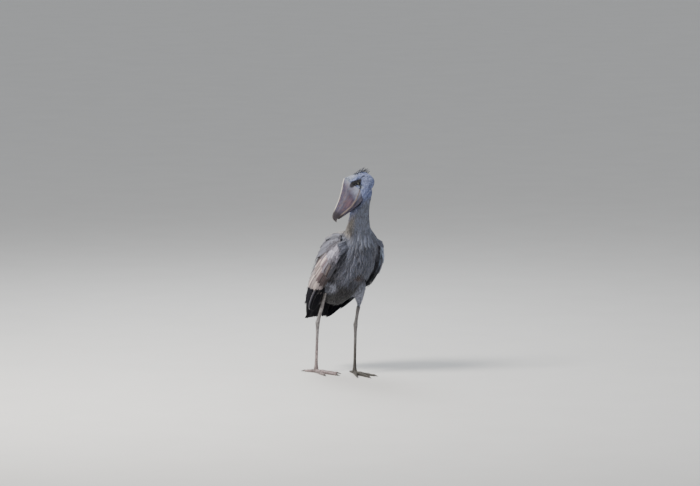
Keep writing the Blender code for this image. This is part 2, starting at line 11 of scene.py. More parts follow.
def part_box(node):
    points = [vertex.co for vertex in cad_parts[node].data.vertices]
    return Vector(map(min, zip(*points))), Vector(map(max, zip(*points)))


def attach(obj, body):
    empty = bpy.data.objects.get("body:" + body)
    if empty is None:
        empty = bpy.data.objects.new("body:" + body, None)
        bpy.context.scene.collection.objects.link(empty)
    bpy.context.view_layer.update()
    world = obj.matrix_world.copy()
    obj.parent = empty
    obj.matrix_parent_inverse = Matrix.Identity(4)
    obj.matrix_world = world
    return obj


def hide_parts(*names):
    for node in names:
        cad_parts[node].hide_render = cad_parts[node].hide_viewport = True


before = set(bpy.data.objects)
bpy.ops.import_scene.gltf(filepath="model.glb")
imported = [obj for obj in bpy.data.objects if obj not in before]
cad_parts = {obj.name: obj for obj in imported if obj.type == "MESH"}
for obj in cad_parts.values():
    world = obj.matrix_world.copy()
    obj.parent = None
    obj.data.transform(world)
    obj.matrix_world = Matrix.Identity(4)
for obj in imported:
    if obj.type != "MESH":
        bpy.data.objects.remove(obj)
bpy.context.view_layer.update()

print("shoebill: frame loaded,", len(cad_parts), "nodes")
scene = bpy.context.scene


# Small helpers for numbers and meshes

def ramp(low, high, value):
    share = np.clip((value - low) / (high - low), 0, 1)
    return share * share * (3 - 2 * share)


def curveAt(rows, at):
    # smooth curve through rows of numbers, read at a place counted in rows
    last = len(rows) - 1
    i = min(max(int(at), 0), last - 1)
    f = at - i
    a, b, c, d = (np.array(rows[min(max(k, 0), last)], float) for k in (i - 1, i, i + 1, i + 2))
    return 0.5 * (2 * b + (c - a) * f + (2 * a - 5 * b + 4 * c - d) * f * f + (3 * b - a - 3 * c + d) * f**3)


def resampled(rows, count):
    return [curveAt(rows, (len(rows) - 1) * k / (count - 1)) for k in range(count)]


def unit(vectors):
    return vectors / np.maximum(np.linalg.norm(vectors, axis=-1, keepdims=True), 1e-9)


def mixed(a, b, share):
    # one colour, or any row of numbers, blended towards another
    return np.array(a) * (1 - share) + np.array(b) * share


def farFrom(spot, points, stretch=(1, 1, 1)):
    return np.linalg.norm((points - np.array(spot)) * np.array(stretch), axis=1)


def turnsOf(count):
    return [math.tau * k / count for k in range(count)]


def addObject(name, data):
    made = bpy.data.objects.new(name, data)
    scene.collection.objects.link(made)
    return made


def pointsOf(mesh):
    # its points and the way out at each
    points, normals = np.empty(len(mesh.vertices) * 3), np.empty(len(mesh.vertices) * 3)
    mesh.vertices.foreach_get("co", points)
    mesh.vertex_normals.foreach_get("vector", normals)
    return points.reshape(-1, 3), normals.reshape(-1, 3)


def setPoints(mesh, points):
    mesh.vertices.foreach_set("co", np.ascontiguousarray(points, np.float32).ravel())
    mesh.update()


def storeOn(mesh, **attributes):
    # under each name, one number, a vector or a colour with its alpha at each point
    kinds = {1: ("FLOAT", "value"), 3: ("FLOAT_VECTOR", "vector"), 4: ("FLOAT_COLOR", "color")}
    for name, values in attributes.items():
        values = np.ascontiguousarray(values, np.float32)
        kind, field = kinds[values.size // len(values)]
        mesh.attributes.new(name, kind, "POINT").data.foreach_set(field, values.ravel())


def mapOnto(mesh, name, spots):
    # a UV map on which each point has one place
    mapping = mesh.uv_layers.new(name=name)
    for loop in mesh.loops:
        mapping.data[loop.index].uv = spots[loop.vertex_index][:2]


def meshOf(name, points, faces=()):
    mesh = bpy.data.meshes.new(name)
    mesh.from_pydata([tuple(p) for p in points], [], faces)
    return mesh


def ringFaces(count, sides, loop=False):
    # quads between rings of points; with `loop` the last ring joins the first
    faces = []
    for i in range(count if loop else count - 1):
        here, ahead = i * sides, (i + 1) % count * sides
        for j in range(sides):
            k = (j + 1) % sides
            faces.append((here + j, here + k, ahead + k, ahead + j))
    return faces


def ringMesh(name, rings):
    # lofts rings of equal count, with a fan on each end, faces outwards
    sides = len(rings[0])
    points = [tuple(p) for ring in rings for p in ring]
    faces = ringFaces(len(rings), sides)
    for start in (0, (len(rings) - 1) * sides):
        hub = len(points)
        points.append(tuple(np.mean(np.array(points[start:start + sides]), axis=0)))
        faces += [(hub, start + j, start + (j + 1) % sides) for j in range(sides)]
    mesh = meshOf(name, points, faces)
    turnOut(mesh)
    return mesh


def turnOut(mesh):
    # merges doubles and makes the faces point outwards
    work = bmesh.new()
    work.from_mesh(mesh)
    bmesh.ops.remove_doubles(work, verts=work.verts, dist=1e-7)
    bmesh.ops.recalc_face_normals(work, faces=work.faces)
    if work.calc_volume(signed=True) < 0:
        bmesh.ops.reverse_faces(work, faces=work.faces)
    work.to_mesh(mesh)
    work.free()
    mesh.shade_smooth()


def mergedCopy(names):
    # one object from copies of CAD nodes, their loose triangles merged first
    work = bmesh.new()
    for name in names:
        work.from_mesh(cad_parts[name].data)
    bmesh.ops.remove_doubles(work, verts=work.verts, dist=1e-5)
    mesh = bpy.data.meshes.new("merged")
    work.to_mesh(mesh)
    work.free()
    return addObject("merged", mesh)


def settled(obj):
    # the object's mesh with its modifiers applied and then removed
    graph = bpy.context.evaluated_depsgraph_get()
    mesh = bpy.data.meshes.new_from_object(obj.evaluated_get(graph))
    obj.modifiers.clear()
    obj.data = mesh
    return obj


def remeshed(obj, voxel, smoothing):
    step = obj.modifiers.new("even", "REMESH")
    step.mode = "VOXEL"
    step.voxel_size = voxel
    settled(obj)
    step = obj.modifiers.new("soften", "SMOOTH")
    step.iterations = smoothing
    step.factor = 0.5
    settled(obj)
    obj.data.shade_smooth()
    return obj


# Small helpers for node trees: a Wire is a node's output, and + - * and abs() on it add a math node

class Wire:
    def __init__(self, socket):
        self.socket, self.tree, self.isVector = socket, socket.id_data, socket.type == "VECTOR"

    def step(self, operation, *values):
        kind = "ShaderNodeVectorMath" if self.isVector else "ShaderNodeMath"
        return valueOf(self.tree, kind, dict(enumerate(values or [self])), operation=operation)

    __add__ = lambda self, other: self.step("ADD", self, other)
    __sub__ = lambda self, other: self.step("SUBTRACT", self, other)
    __rsub__ = lambda self, other: self.step("SUBTRACT", other, self)
    __abs__ = lambda self: self.step("ABSOLUTE")

    def __mul__(self, other):
        if self.isVector and not isinstance(other, tuple) and not getattr(other, "isVector", False):
            return valueOf(self.tree, "ShaderNodeVectorMath", {0: self, "Scale": other}, operation="SCALE")
        return self.step("MULTIPLY", self, other)


def plugIn(target, name, value):
    # inputs go by number, or by name where only the one in use counts
    if isinstance(name, int):
        socket = target.inputs[name]
    else:
        socket = next(s for s in target.inputs if s.name == name and s.enabled)
    if isinstance(value, Wire):
        target.id_data.links.new(value.socket, socket)
    else:
        socket.default_value = value


def node(tree, kind, inputs=None, **settings):
    made = tree.nodes.new(kind)
    for key, value in settings.items():
        setattr(made, key, value)
    for name, value in (inputs or {}).items():
        plugIn(made, name, value)
    return made


def outOf(made, name=None):
    return Wire(made.outputs[name] if name else next(s for s in made.outputs if s.enabled))


def valueOf(tree, kind, inputs=None, **settings):
    return outOf(node(tree, kind, inputs, **settings))


def split(vector):
    return [Wire(s) for s in node(vector.tree, "ShaderNodeSeparateXYZ", {0: vector}).outputs]


def joined(tree, *parts):
    return valueOf(tree, "ShaderNodeCombineXYZ", dict(enumerate(parts)))


def lengthOf(vector):
    return outOf(node(vector.tree, "ShaderNodeVectorMath", {0: vector}, operation="LENGTH"), "Value")


def held(tree, name, kind="FLOAT_VECTOR"):
    # an attribute of the mesh that the tree works on
    return valueOf(tree, "GeometryNodeInputNamedAttribute", {"Name": name}, data_type=kind)


def newTree(name, sockets):
    # a Geometry Nodes tree with named inputs, and its group input and output
    tree = bpy.data.node_groups.new(name, "GeometryNodeTree")
    tree.interface.new_socket("Geometry", in_out="INPUT", socket_type="NodeSocketGeometry")
    for label, kind in sockets.items():
        tree.interface.new_socket(label, in_out="INPUT", socket_type=f"NodeSocket{kind}")
    tree.interface.new_socket("Geometry", in_out="OUTPUT", socket_type="NodeSocketGeometry")
    start, end = tree.nodes.new("NodeGroupInput"), tree.nodes.new("NodeGroupOutput")
    return tree, {s.name: Wire(s) for s in start.outputs if s.name}, end


def grown(name, base, tree, values):
    # runs a tree on the base object's mesh and returns the result as a plain mesh object
    step = base.modifiers.new("grow", "NODES")
    step.node_group = tree
    sockets = {s.name: s.identifier for s in tree.interface.items_tree if s.in_out == "INPUT"}
    for label, value in values.items():
        step[sockets[label]] = value
    graph = bpy.context.evaluated_depsgraph_get()
    mesh = bpy.data.meshes.new_from_object(base.evaluated_get(graph))
    base.modifiers.remove(step)
    mesh.name = name
    mesh.shade_smooth()
    print(f"  {name}: {len(mesh.polygons)} faces")
    return addObject(name, mesh)


# Feather shapes: closed thin blades along +X, one unit long and one unit wide, shaft up the middle

featherShapes = {
    # places along the blade with their widths, arch across, droop at the tip, how ragged the edge is,
    # the shaft's rise, strips either side of the shaft
    "down": dict(line=[(0, .22), (.10, .62), (.32, .92), (.58, 1), (.80, .86), (.94, .50), (1, .08)],
                 arch=.10, droop=.05, ragged=.16, ridge=.030, rows=1),
    "lance": dict(line=[(0, .30), (.08, .62), (.25, .92), (.48, 1), (.70, .80), (.88, .46), (1, .05)],
                  arch=.22, droop=.03, ragged=.12, ridge=.065, rows=2),
    "round": dict(line=[(0, .20), (.08, .55), (.26, .90), (.52, 1), (.76, .95), (.92, .64), (1, .14)],
                  arch=.13, droop=.07, ragged=.08, ridge=.065, rows=2),
}
templates = {}


def makeTemplates(shapes, blade, count):
    # a collection of a few blades of each shape, each with its own ragged edge and a map along its vane
    for name, shape in shapes.items():
        templates[name] = bpy.data.collections.new(f"templates_{name}")
        across = [k / shape["rows"] for k in range(-shape["rows"], shape["rows"] + 1)]
        for seed in range(count):
            points, spots, ends = blade(shape, across, seed)
            ring = len(points) // len(shape["line"])
            faces = ringFaces(len(shape["line"]), ring)
            for start in (0, len(points) - ring):
                faces += [[start + k for k in face] for face in ends]
            mesh = meshOf(f"template_{name}_{seed}", points, faces)
            mapOnto(mesh, "vane", spots)
            turnOut(mesh)
            templates[name].objects.link(bpy.data.objects.new(mesh.name, mesh))


def shortBlade(shape, across, seed):
    # the underside is one flat row under the shaft
    draw = random.Random(seed)
    points, spots = [], []
    for x, wide in shape["line"]:
        lobes = [1 + shape["ragged"] * draw.uniform(-1, 1) * ramp(.2, 1, x) for _ in (0, 1)]
        droop = shape["droop"] * x * x * 6
        for v in across:
            lag = -.05 * abs(v) ** 1.5 * ramp(.3, 1, x)  # the vane's edge stops short of the shaft
            ridge = shape["ridge"] * (1 - x * .6) if v == 0 else (.03 if abs(v) < 1 else 0)
            z = -shape["arch"] * abs(v) ** 1.7 * wide - droop + ridge
            points.append((x + lag, .5 * wide * v * lobes[v > 0], z))
            spots.append((x, .5 + .5 * v))
        points.append((x, 0, -droop - .03 - shape["arch"] * .3 * wide))
        spots.append((x, .5))
    return points, spots, [range(len(across) + 1)]


makeTemplates(featherShapes, shortBlade, 4)


# The tree that grows a coat: seeded points on the skin, a blade on each along the skin's own lie

mapPatch = .003  # size on the map of a coat feather's own patch


def finished(tree, end, geometry, place, material):
    # each blade's place on the map, then its finish
    mapped = valueOf(tree, "GeometryNodeStoreNamedAttribute", {
        "Geometry": geometry, "Name": "OFBake", "Value": place,
    }, data_type="FLOAT2", domain="CORNER")
    final = valueOf(tree, "GeometryNodeSetMaterial", {"Geometry": mapped, "Material": material})
    plugIn(end, 0, final)
    return tree


def placedBlades(tree, given, inputs):
    kinds = valueOf(tree, "GeometryNodeCollectionInfo", {
        "Collection": given["Feathers"], "Separate Children": True, "Reset Children": True,
    })
    return valueOf(tree, "GeometryNodeInstanceOnPoints", {"Instance": kinds, "Pick Instance": True, **inputs})


def coatTree():
    tree, given, end = newTree("feather coat", dict(
        Feathers="Collection", Spacing="Float", Length="Float", Width="Float", Lift="Float", Stray="Float",
        Seed="Int", Material="Material",
    ))
    spacing = given["Spacing"]
    density = spacing.step("DIVIDE", 3.0, spacing * spacing)
    scatter = node(tree, "GeometryNodeDistributePointsOnFaces", {
        "Mesh": given["Geometry"], "Distance Min": spacing, "Density Max": density,
        "Density Factor": held(tree, "cover", "FLOAT"), "Seed": given["Seed"],
    }, distribute_method="POISSON")

    def drawn(low, high, seed, kind="FLOAT"):
        limits = {"Min": low, "Max": high, "Seed": seed}
        return valueOf(tree, "FunctionNodeRandomValue", limits, data_type=kind)

    facing = valueOf(tree, "FunctionNodeAxesToRotation", {
        "Primary Axis": held(tree, "lie"), "Secondary Axis": outOf(scatter, "Normal"),
    }, primary_axis="X", secondary_axis="Z")
    stray = given["Stray"] * drawn(-1.0, 1.0, 3)
    roll = given["Stray"] * drawn(-1.0, 1.0, 4)
    rise = given["Lift"] * held(tree, "liftHere", "FLOAT") * drawn(.55, 1.45, 5)
    lean = valueOf(tree, "FunctionNodeEulerToRotation", {0: joined(tree, roll, rise * -1.0, stray)})
    turned = valueOf(tree, "FunctionNodeRotateRotation", {
        "Rotation": facing, "Rotate By": lean,
    }, rotation_space="LOCAL")
    size = held(tree, "sizeHere", "FLOAT")
    long = given["Length"] * size * drawn(.80, 1.20, 6)
    wide = given["Width"] * size * drawn(.85, 1.15, 7)
    blades = placedBlades(tree, given, {
        "Points": outOf(scatter, "Points"), "Instance Index": drawn(0, 3, 8, "INT"),
        "Rotation": turned, "Scale": joined(tree, long, wide, wide * .5),
    })
    shaded = valueOf(tree, "GeometryNodeStoreNamedAttribute", {
        "Geometry": blades, "Name": "shade", "Value": drawn(0.0, 1.0, 9),
    }, data_type="FLOAT", domain="INSTANCE")
    real = valueOf(tree, "GeometryNodeRealizeInstances", {"Geometry": shaded})
    place = held(tree, "rootPlace") + (held(tree, "vane") - (.5, .5, 0)) * mapPatch
    return finished(tree, end, real, place, given["Material"])


# The tree that lays single long feathers: each follows its own curve from root to tip

def vaneTree():
    tree, given, end = newTree("laid feathers", dict(Feathers="Collection", Material="Material"))
    index = valueOf(tree, "GeometryNodeInputIndex")
    blades = placedBlades(tree, given, {
        "Points": given["Geometry"], "Instance Index": index.step("MODULO", index, 3.0),
    })
    real = valueOf(tree, "GeometryNodeRealizeInstances", {"Geometry": blades})
    root, bend, tip = (held(tree, name) for name in ("rootAt", "bendAt", "tipAt"))
    # place within the blade, once its root's own place is taken off
    x, y, z = split(valueOf(tree, "GeometryNodeInputPosition") - root)
    back = 1.0 - x
    curve = root * (back * back) + (bend * (x * back * 2.0) + tip * (x * x))
    along = ((bend - root) * back + (tip - bend) * x).step("NORMALIZE")
    out = held(tree, "rootOut") * back + held(tree, "tipOut") * x
    side = out.step("CROSS_PRODUCT", out, along).step("NORMALIZE")
    up = along.step("CROSS_PRODUCT", along, side)
    wide, deep, tilt = (held(tree, name, "FLOAT") for name in ("wide", "deep", "tilt"))
    place = curve + (side * (y * wide) + up * (z * deep + y * tilt))
    laid = valueOf(tree, "GeometryNodeSetPosition", {"Geometry": real, "Position": place})
    # each feather has its own cell on the map, so that its pattern is kept
    cell = held(tree, "rootPlace") + held(tree, "vane") * held(tree, "cellSize")
    return finished(tree, end, laid, cell, given["Material"])


coat = coatTree()
vanes = vaneTree()
print("feather shapes and trees ready")


# Finishes: each one a short node tree on the piece's own attributes, its vane map or Object coordinates

def newMaterial(name, roughness, sheen, specular):
    made = bpy.data.materials.new(name)
    made.use_nodes = True
    shader = made.node_tree.nodes["Principled BSDF"]
    for label, value in (("Roughness", roughness), ("Sheen Weight", sheen), ("Specular IOR Level", specular)):
        shader.inputs[label].default_value = value
    return made, made.node_tree, shader


def mixColour(share, a, b, blend="MIX"):
    tree = next(v.tree for v in (share, a, b) if isinstance(v, Wire))
    ends = {k: (*v, 1) if isinstance(v, tuple) else v for k, v in (("A", a), ("B", b))}
    return valueOf(tree, "ShaderNodeMix", {"Factor": share, **ends}, data_type="RGBA", blend_type=blend)


def layered(colour, *layers):
    # each layer's share and colour, laid over those before it
    for share, tone in layers:
        colour = mixColour(share, colour, tone)
    return colour


def noiseAt(place, scale, detail=3.0, roughness=.5):
    return outOf(node(place.tree, "ShaderNodeTexNoise", {
        "Vector": place, "Scale": scale, "Detail": detail, "Roughness": roughness,
    }), "Fac")


def between(value, low, high, toLow=0.0, toHigh=1.0):
    return valueOf(value.tree, "ShaderNodeMapRange", {
        "Value": value, "From Min": low, "From Max": high, "To Min": toLow, "To Max": toHigh,
    }, interpolation_type="SMOOTHSTEP")


def objectPlace(tree):
    return outOf(node(tree, "ShaderNodeTexCoord"), "Object")


def namedValue(tree, name, output="Fac"):
    return outOf(node(tree, "ShaderNodeAttribute", attribute_name=name), output)


def dressed(shader, colour, height, strength, distance):
    # the finish's colour and its relief
    plugIn(shader, "Base Color", colour)
    plugIn(shader, "Normal", valueOf(shader.id_data, "ShaderNodeBump", {
        "Height": height, "Strength": strength, "Distance": distance,
    }))


def featherMaterial(name, edge=.35, shaft=.55, barbs=60.0, sheen=.15, specular=.22):
    # the markings' colour, with a paler edge, a darker shaft and fine barbs along the vane map
    made, tree, shader = newMaterial(name, .70, sheen, specular)
    x, y, _ = split(namedValue(tree, "vane", "Vector"))
    across = abs(y - .5) * 2.0
    rough = noiseAt(objectPlace(tree), 190.0)
    tone = between(namedValue(tree, "shade"), 0.0, 1.0, .62, 1.34) * between(rough, .3, .7, .80, 1.16)
    grey = valueOf(tree, "ShaderNodeCombineColor", {0: tone, 1: tone, 2: tone})
    rim = between(across.step("MAXIMUM", across, between(x, .80, 1.0)), .66, 1.0)
    quill = between(across, .30, .03) * (namedValue(tree, "streak") * shaft)
    comb = ((x * barbs + across * -9.0) * math.tau).step("SINE")  # outwards and forwards from the shaft
    colour = layered(
        mixColour(1.0, namedValue(tree, "plumage", "Color"), grey, "MULTIPLY"),
        (rim * edge * namedValue(tree, "plumage", "Alpha"), (.370, .350, .360)),
        (quill, (.012, .012, .016)),
        (between(comb, .2, 1.0, 0.0, .18), (.014, .014, .018)),
    )
    dressed(shader, colour, comb, .25, .0004)
    return made


plainLooks = {
    # roughness, sheen, specular; grain's scale, detail, roughness; where one colour turns to the other;
    # the relief's strength and depth; both colours, of which the first may be the markings' own
    "under coat": ((.9, .1, .2), (260.0, 5.0, .7), (.35, .65, .25, .75), (.6, .0015),
                   "plumage", (.018, .017, .020)),
    "wing arm": ((.9, .1, .2), (240.0, 5.0, .7), (.35, .65), (.6, .0015),
                 (.012, .012, .016), (.060, .058, .070)),
    # painted shade: the lid skin is near black, for the brow's shadow over the eye
    "lid skin": ((.7, .1, .12), (700.0, 4.0, .6), (.35, .7), (.5, .0006),
                 (.005, .005, .007), (.016, .015, .020)),
    "claw horn": ((.38, 0, .5), (300.0, 4.0, .6), (.35, .7), (.3, .0005),
                  (.028, .024, .024), (.100, .086, .078)),
}


def plainMaterial(name):
    finish, grain, turn, relief, first, second = plainLooks[name]
    made, tree, shader = newMaterial(name, *finish)
    mottle = noiseAt(objectPlace(tree), *grain)
    first = namedValue(tree, first, "Color") if isinstance(first, str) else first
    dressed(shader, mixColour(between(mottle, *turn), first, second), mottle, *relief)
    return made


# The bird's stance, as the solids have it: body axis, neck line, head and legs

stance = dict(
    axisTilt=math.radians(53), axisFoot=Vector((0, .122, .372)),
    lean=.040, leanFrom=.30, leanTo=.65,
    neck=[(-.004, -.120, .690), (-.012, -.158, .790), (-.021, -.180, .890), (-.008, -.198, .985)],
    headAt=Vector((-.008, -.194, 1.033)), headTurn=[math.radians(a) for a in (162, 50, 15)],
    eyeAt=Vector((.002, .0375, .004)), eyeRadius=.0135,
    # hip, knee, top of the bare leg, heel and ankle
    leftLeg=[(.066, -.050, .575), (.070, -.098, .500), (.072, -.107, .392), (.072, -.076, .268),
             (.072, -.068, .020)],
    rightLeg=[(-.036, 0, .580), (-.046, -.010, .520), (-.051, .010, .466), (-.056, .086, .272),
              (-.055, .102, .020)],
)
turnZ, turnY, turnX = stance["headTurn"]
headFrame = (Matrix.Translation(stance["headAt"]) @ Matrix.Rotation(turnZ, 4, "Z")
             @ Matrix.Rotation(turnY, 4, "Y") @ Matrix.Rotation(turnX, 4, "X"))
eyeLow, eyeHigh = (Vector(p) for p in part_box("eye_left"))
shift = (eyeLow + eyeHigh) / 2 - headFrame @ stance["eyeAt"]  # from the stance's own origin to the frame's
headFrame = Matrix.Translation(shift) @ headFrame
headMatrix, headInverse = np.array(headFrame), np.array(headFrame.inverted())


def placed(point):
    share = ramp(stance["leanFrom"], stance["leanTo"], point[2])
    return Vector(point) + Vector((stance["lean"] * share, 0, 0)) + shift


def axisPoint(distance):
    # a point of the body's axis, this far from the vent towards the neck
    tilt = stance["axisTilt"]
    return stance["axisFoot"] + Vector((0, -math.cos(tilt), math.sin(tilt))) * distance


def inHead(points):
    # points in the head's own frame: x to the bill's tip, y to the bird's left, z up
    return points @ headInverse[:3, :3].T + headInverse[:3, 3]


def outOfHead(points):
    return points @ headMatrix[:3, :3].T + headMatrix[:3, 3]


def eyeCentre(side, across=None):
    # in the head's frame
    x, y, z = stance["eyeAt"]
    return np.array((x, side * (across or y), z))


# The skin: one closed surface for head, neck, body and thighs, inside the solids by the coat's depth

skinSizes = dict(
    voxel=.0030, smoothing=10,
    # how deep the skin lies under the solids, and between which heights or distances from the head it changes
    headDepth=.0022, neckDepth=.0050, bodyDepth=.0085, thighDepth=.0050,
    headMiddle=(-.02, 0, -.01), head=(.075, .105), neck=(.74, .86), thigh=(.44, .52), billFrom=.07,
    # what the skin adds round the eyes: place in the head's frame for the left side, height, reach, stretch
    forms=[((stance["eyeAt"].x, .047, stance["eyeAt"].z), -.0042, .015, (1, 1, 1)),
           ((-.004, .044, .0225), .0048, .0085, (.42, 1, 1.4)),
           ((-.030, .046, -.040), .0025, .020, (1, 1, 1))],
)
skull = [
    # place along the head, top, bottom, half width
    (-.076, -.010, -.040, .018), (-.068, .016, -.060, .035), (-.050, .033, -.074, .044),
    (-.026, .047, -.078, .047), (.002, .063, -.076, .0470), (.018, .0725, -.071, .0465),
    (.027, .0710, -.069, .0470),
]
jaw = [
    # the same, and how much the ring slants: feathered cheeks that reach over the base of the lower bill
    (-.022, -.010, -.0785, .0462, 0), (.004, -.018, -.0795, .0472, .15), (.024, -.024, -.0795, .0482, .40),
    (.038, -.031, -.0785, .0485, .60),
]


def headRing(x, top, bottom, half, slant=0.0, square=2.2):
    # `square` is how full the upper half is
    middle, ring = (top + bottom) / 2, []
    for a in turnsOf(36):
        c, s = math.cos(a), math.sin(a)
        power = 2 / (square if s > 0 else 2.2)
        y = half * math.copysign(abs(c) ** power, c)
        z = middle + (top - middle) * math.copysign(abs(s) ** power, s)
        ring.append(headFrame @ Vector((x - slant * (z + .05), y, z)))
    return ring


def onJaw(local):
    return ramp(-.012, .004, local[:, 0]) * ramp(-.098, -.088, local[:, 2])


def makeSkin():
    body = mergedCopy(["torso", "neck", "thigh_left", "thigh_right"])
    work = bmesh.new()
    work.from_mesh(body.data)
    for rows, square in ((resampled(skull, 16), 2.2), (resampled(jaw, 12), 6)):
        work.from_mesh(ringMesh("skull", [headRing(*row, square=square) for row in rows]))
    work.to_mesh(body.data)
    work.free()
    remeshed(body, skinSizes["voxel"], skinSizes["smoothing"])
    mesh = body.data
    points, normals = pointsOf(mesh)
    local, high = inHead(points), points[:, 2] - shift.z
    toHead = 1 - ramp(*skinSizes["head"], farFrom(skinSizes["headMiddle"], local))
    toHead = np.maximum(toHead, onJaw(local) * (local[:, 0] < skinSizes["billFrom"]))
    depth = mixed(skinSizes["bodyDepth"], skinSizes["neckDepth"], ramp(*skinSizes["neck"], high))
    depth = mixed(depth, skinSizes["thighDepth"], 1 - ramp(*skinSizes["thigh"], high))
    depth = mixed(depth, skinSizes["headDepth"], toHead)
    points -= normals * depth[:, None]
    # eye sockets, brows over them and a soft cheek below
    for side in (1, -1):
        raised = sum(rise * np.exp(-(farFrom((x, side * y, z), local, stretch) / reach) ** 2)
                     for (x, y, z), rise, reach, stretch in skinSizes["forms"])
        points += normals * raised[:, None]
    setPoints(mesh, points)
    body.name = mesh.name = "skin"
    return body


# Which way the coat lies and how big its feathers are, blended from lines through the body

headLine = [headFrame @ Vector(p) for p in ((.030, 0, .010), (-.020, 0, .0), (-.060, 0, -.020))]
coatLines = [
    # points head first, how near the line counts, feather size and lift at each end
    (headLine, .045, (.55, 1.0), (.5, 1)),
    ([placed(p) for p in reversed(stance["neck"])], .06, (.75, 1.15), (1, 1)),
    ([placed(axisPoint(d)) for d in (.39, .26, .13, .0)], .09, (1.1, 1.0), (1, 1)),
    ([placed(p) for p in stance["leftLeg"][:3]], .05, (1.0, .55), (1, 1.4)),
    ([placed(p) for p in stance["rightLeg"][:3]], .05, (1.0, .55), (1, 1.4)),
]
hangDown = np.array((0, 0, -.35))  # how much more steeply the long feathers hang than the body runs
driftScale = dict(size=17, strength=.16)  # slow change of tone over the coat


def markLie(mesh):
    points, normals = pointsOf(mesh)
    spots, ways, reach, sizes, lifts = [], [], [], [], []
    for line, near, size, lift in coatLines:
        rows, last, count = [tuple(p) for p in line], len(line) - 1, 14
        for f in (k / (count - 1) for k in range(count)):
            spots.append(curveAt(rows, f * last))
            ways.append(curveAt(rows, min(f + .02, 1) * last) - curveAt(rows, max(f - .02, 0) * last))
            reach.append(near)
            sizes.append(size[0] + (size[1] - size[0]) * f)
            lifts.append(lift[0] + (lift[1] - lift[0]) * f)
    apart = np.linalg.norm(points[:, None, :] - np.array(spots)[None], axis=2)
    weight = np.exp(-(apart / (np.array(reach) * .55)) ** 2) + 1e-9
    weight /= weight.sum(axis=1, keepdims=True)
    lie = weight @ unit(np.array(ways))
    hang = ramp(.86, .70, points[:, 2] - shift.z) * ramp(-.15, .45, -normals[:, 1])
    lie += hangDown * hang[:, None]
    lie -= normals * (lie * normals).sum(axis=1, keepdims=True)
    storeOn(mesh, lie=unit(lie), sizeHere=weight @ np.array(sizes), liftHere=weight @ np.array(lifts))
    return points, normals


# The bird's markings, the same for skin and coat: one colour at each point of the skin

plumage = dict(
    head=(.165, .198, .370), crown=(.320, .350, .430), cheek=(.190, .222, .370), face=(.290, .330, .440),
    # painted shadow: the near-black colour of the stripes round the eye, under the brow
    # partly painted light: the cream of the neck's side turned to the key lamp, over its own brownish streaks
    eyeShade=(.006, .006, .008), neck=(.135, .148, .196), litThroat=(.240, .215, .190), breast=(.078, .085, .118),
    # painted shade: belly and vent are near black for the shadow under the body
    mantle=(.085, .086, .104), belly=(.011, .0105, .013), vent=(.010, .009, .011), thigh=(.240, .250, .310),
    spot=(.022, .011, .011), side=(.100, .092, .100),
)
marks = dict(
    # metres across and up in the photo's view: dark ruffled feathers on the breast, pale ones over the knee
    spot=(.1325, .5370), knee=(-.0230, .4740),
    # place along the head and height: painted shadow in a dark stripe through the eye, under the brow, a thin
    # line behind it, and painted shade in the fold from the eye's lower edge to the mouth's corner, each with
    # its reach and strength
    stripes=[([(-.003, .004), (.006, .008), (.021, .020)], .0180, 1),
             ([(-.016, .006), (-.030, .007), (-.044, .003)], .0055, .7),
             ([(.0050, -.009), (.0080, -.017), (.0190, -.024)], .0065, .85)],
    legs=[(.074, -.102), (-.052, .012)],  # where the pale thighs stand
)


def nearLine(local, line, reach):
    # how near each point is, seen from the side, to a line of places along the head and heights
    off = np.full(len(local), 1.0)
    for f in np.linspace(0, len(line) - 1, 15):
        x, z = curveAt(line, f)
        off = np.minimum(off, np.hypot(local[:, 0] - x, local[:, 2] - z))
    return ramp(reach, reach * .55, off)


def fromLegs(east, north, legs):
    return np.min([np.hypot(east - x, (north - y) * .8) for x, y in legs], axis=0)


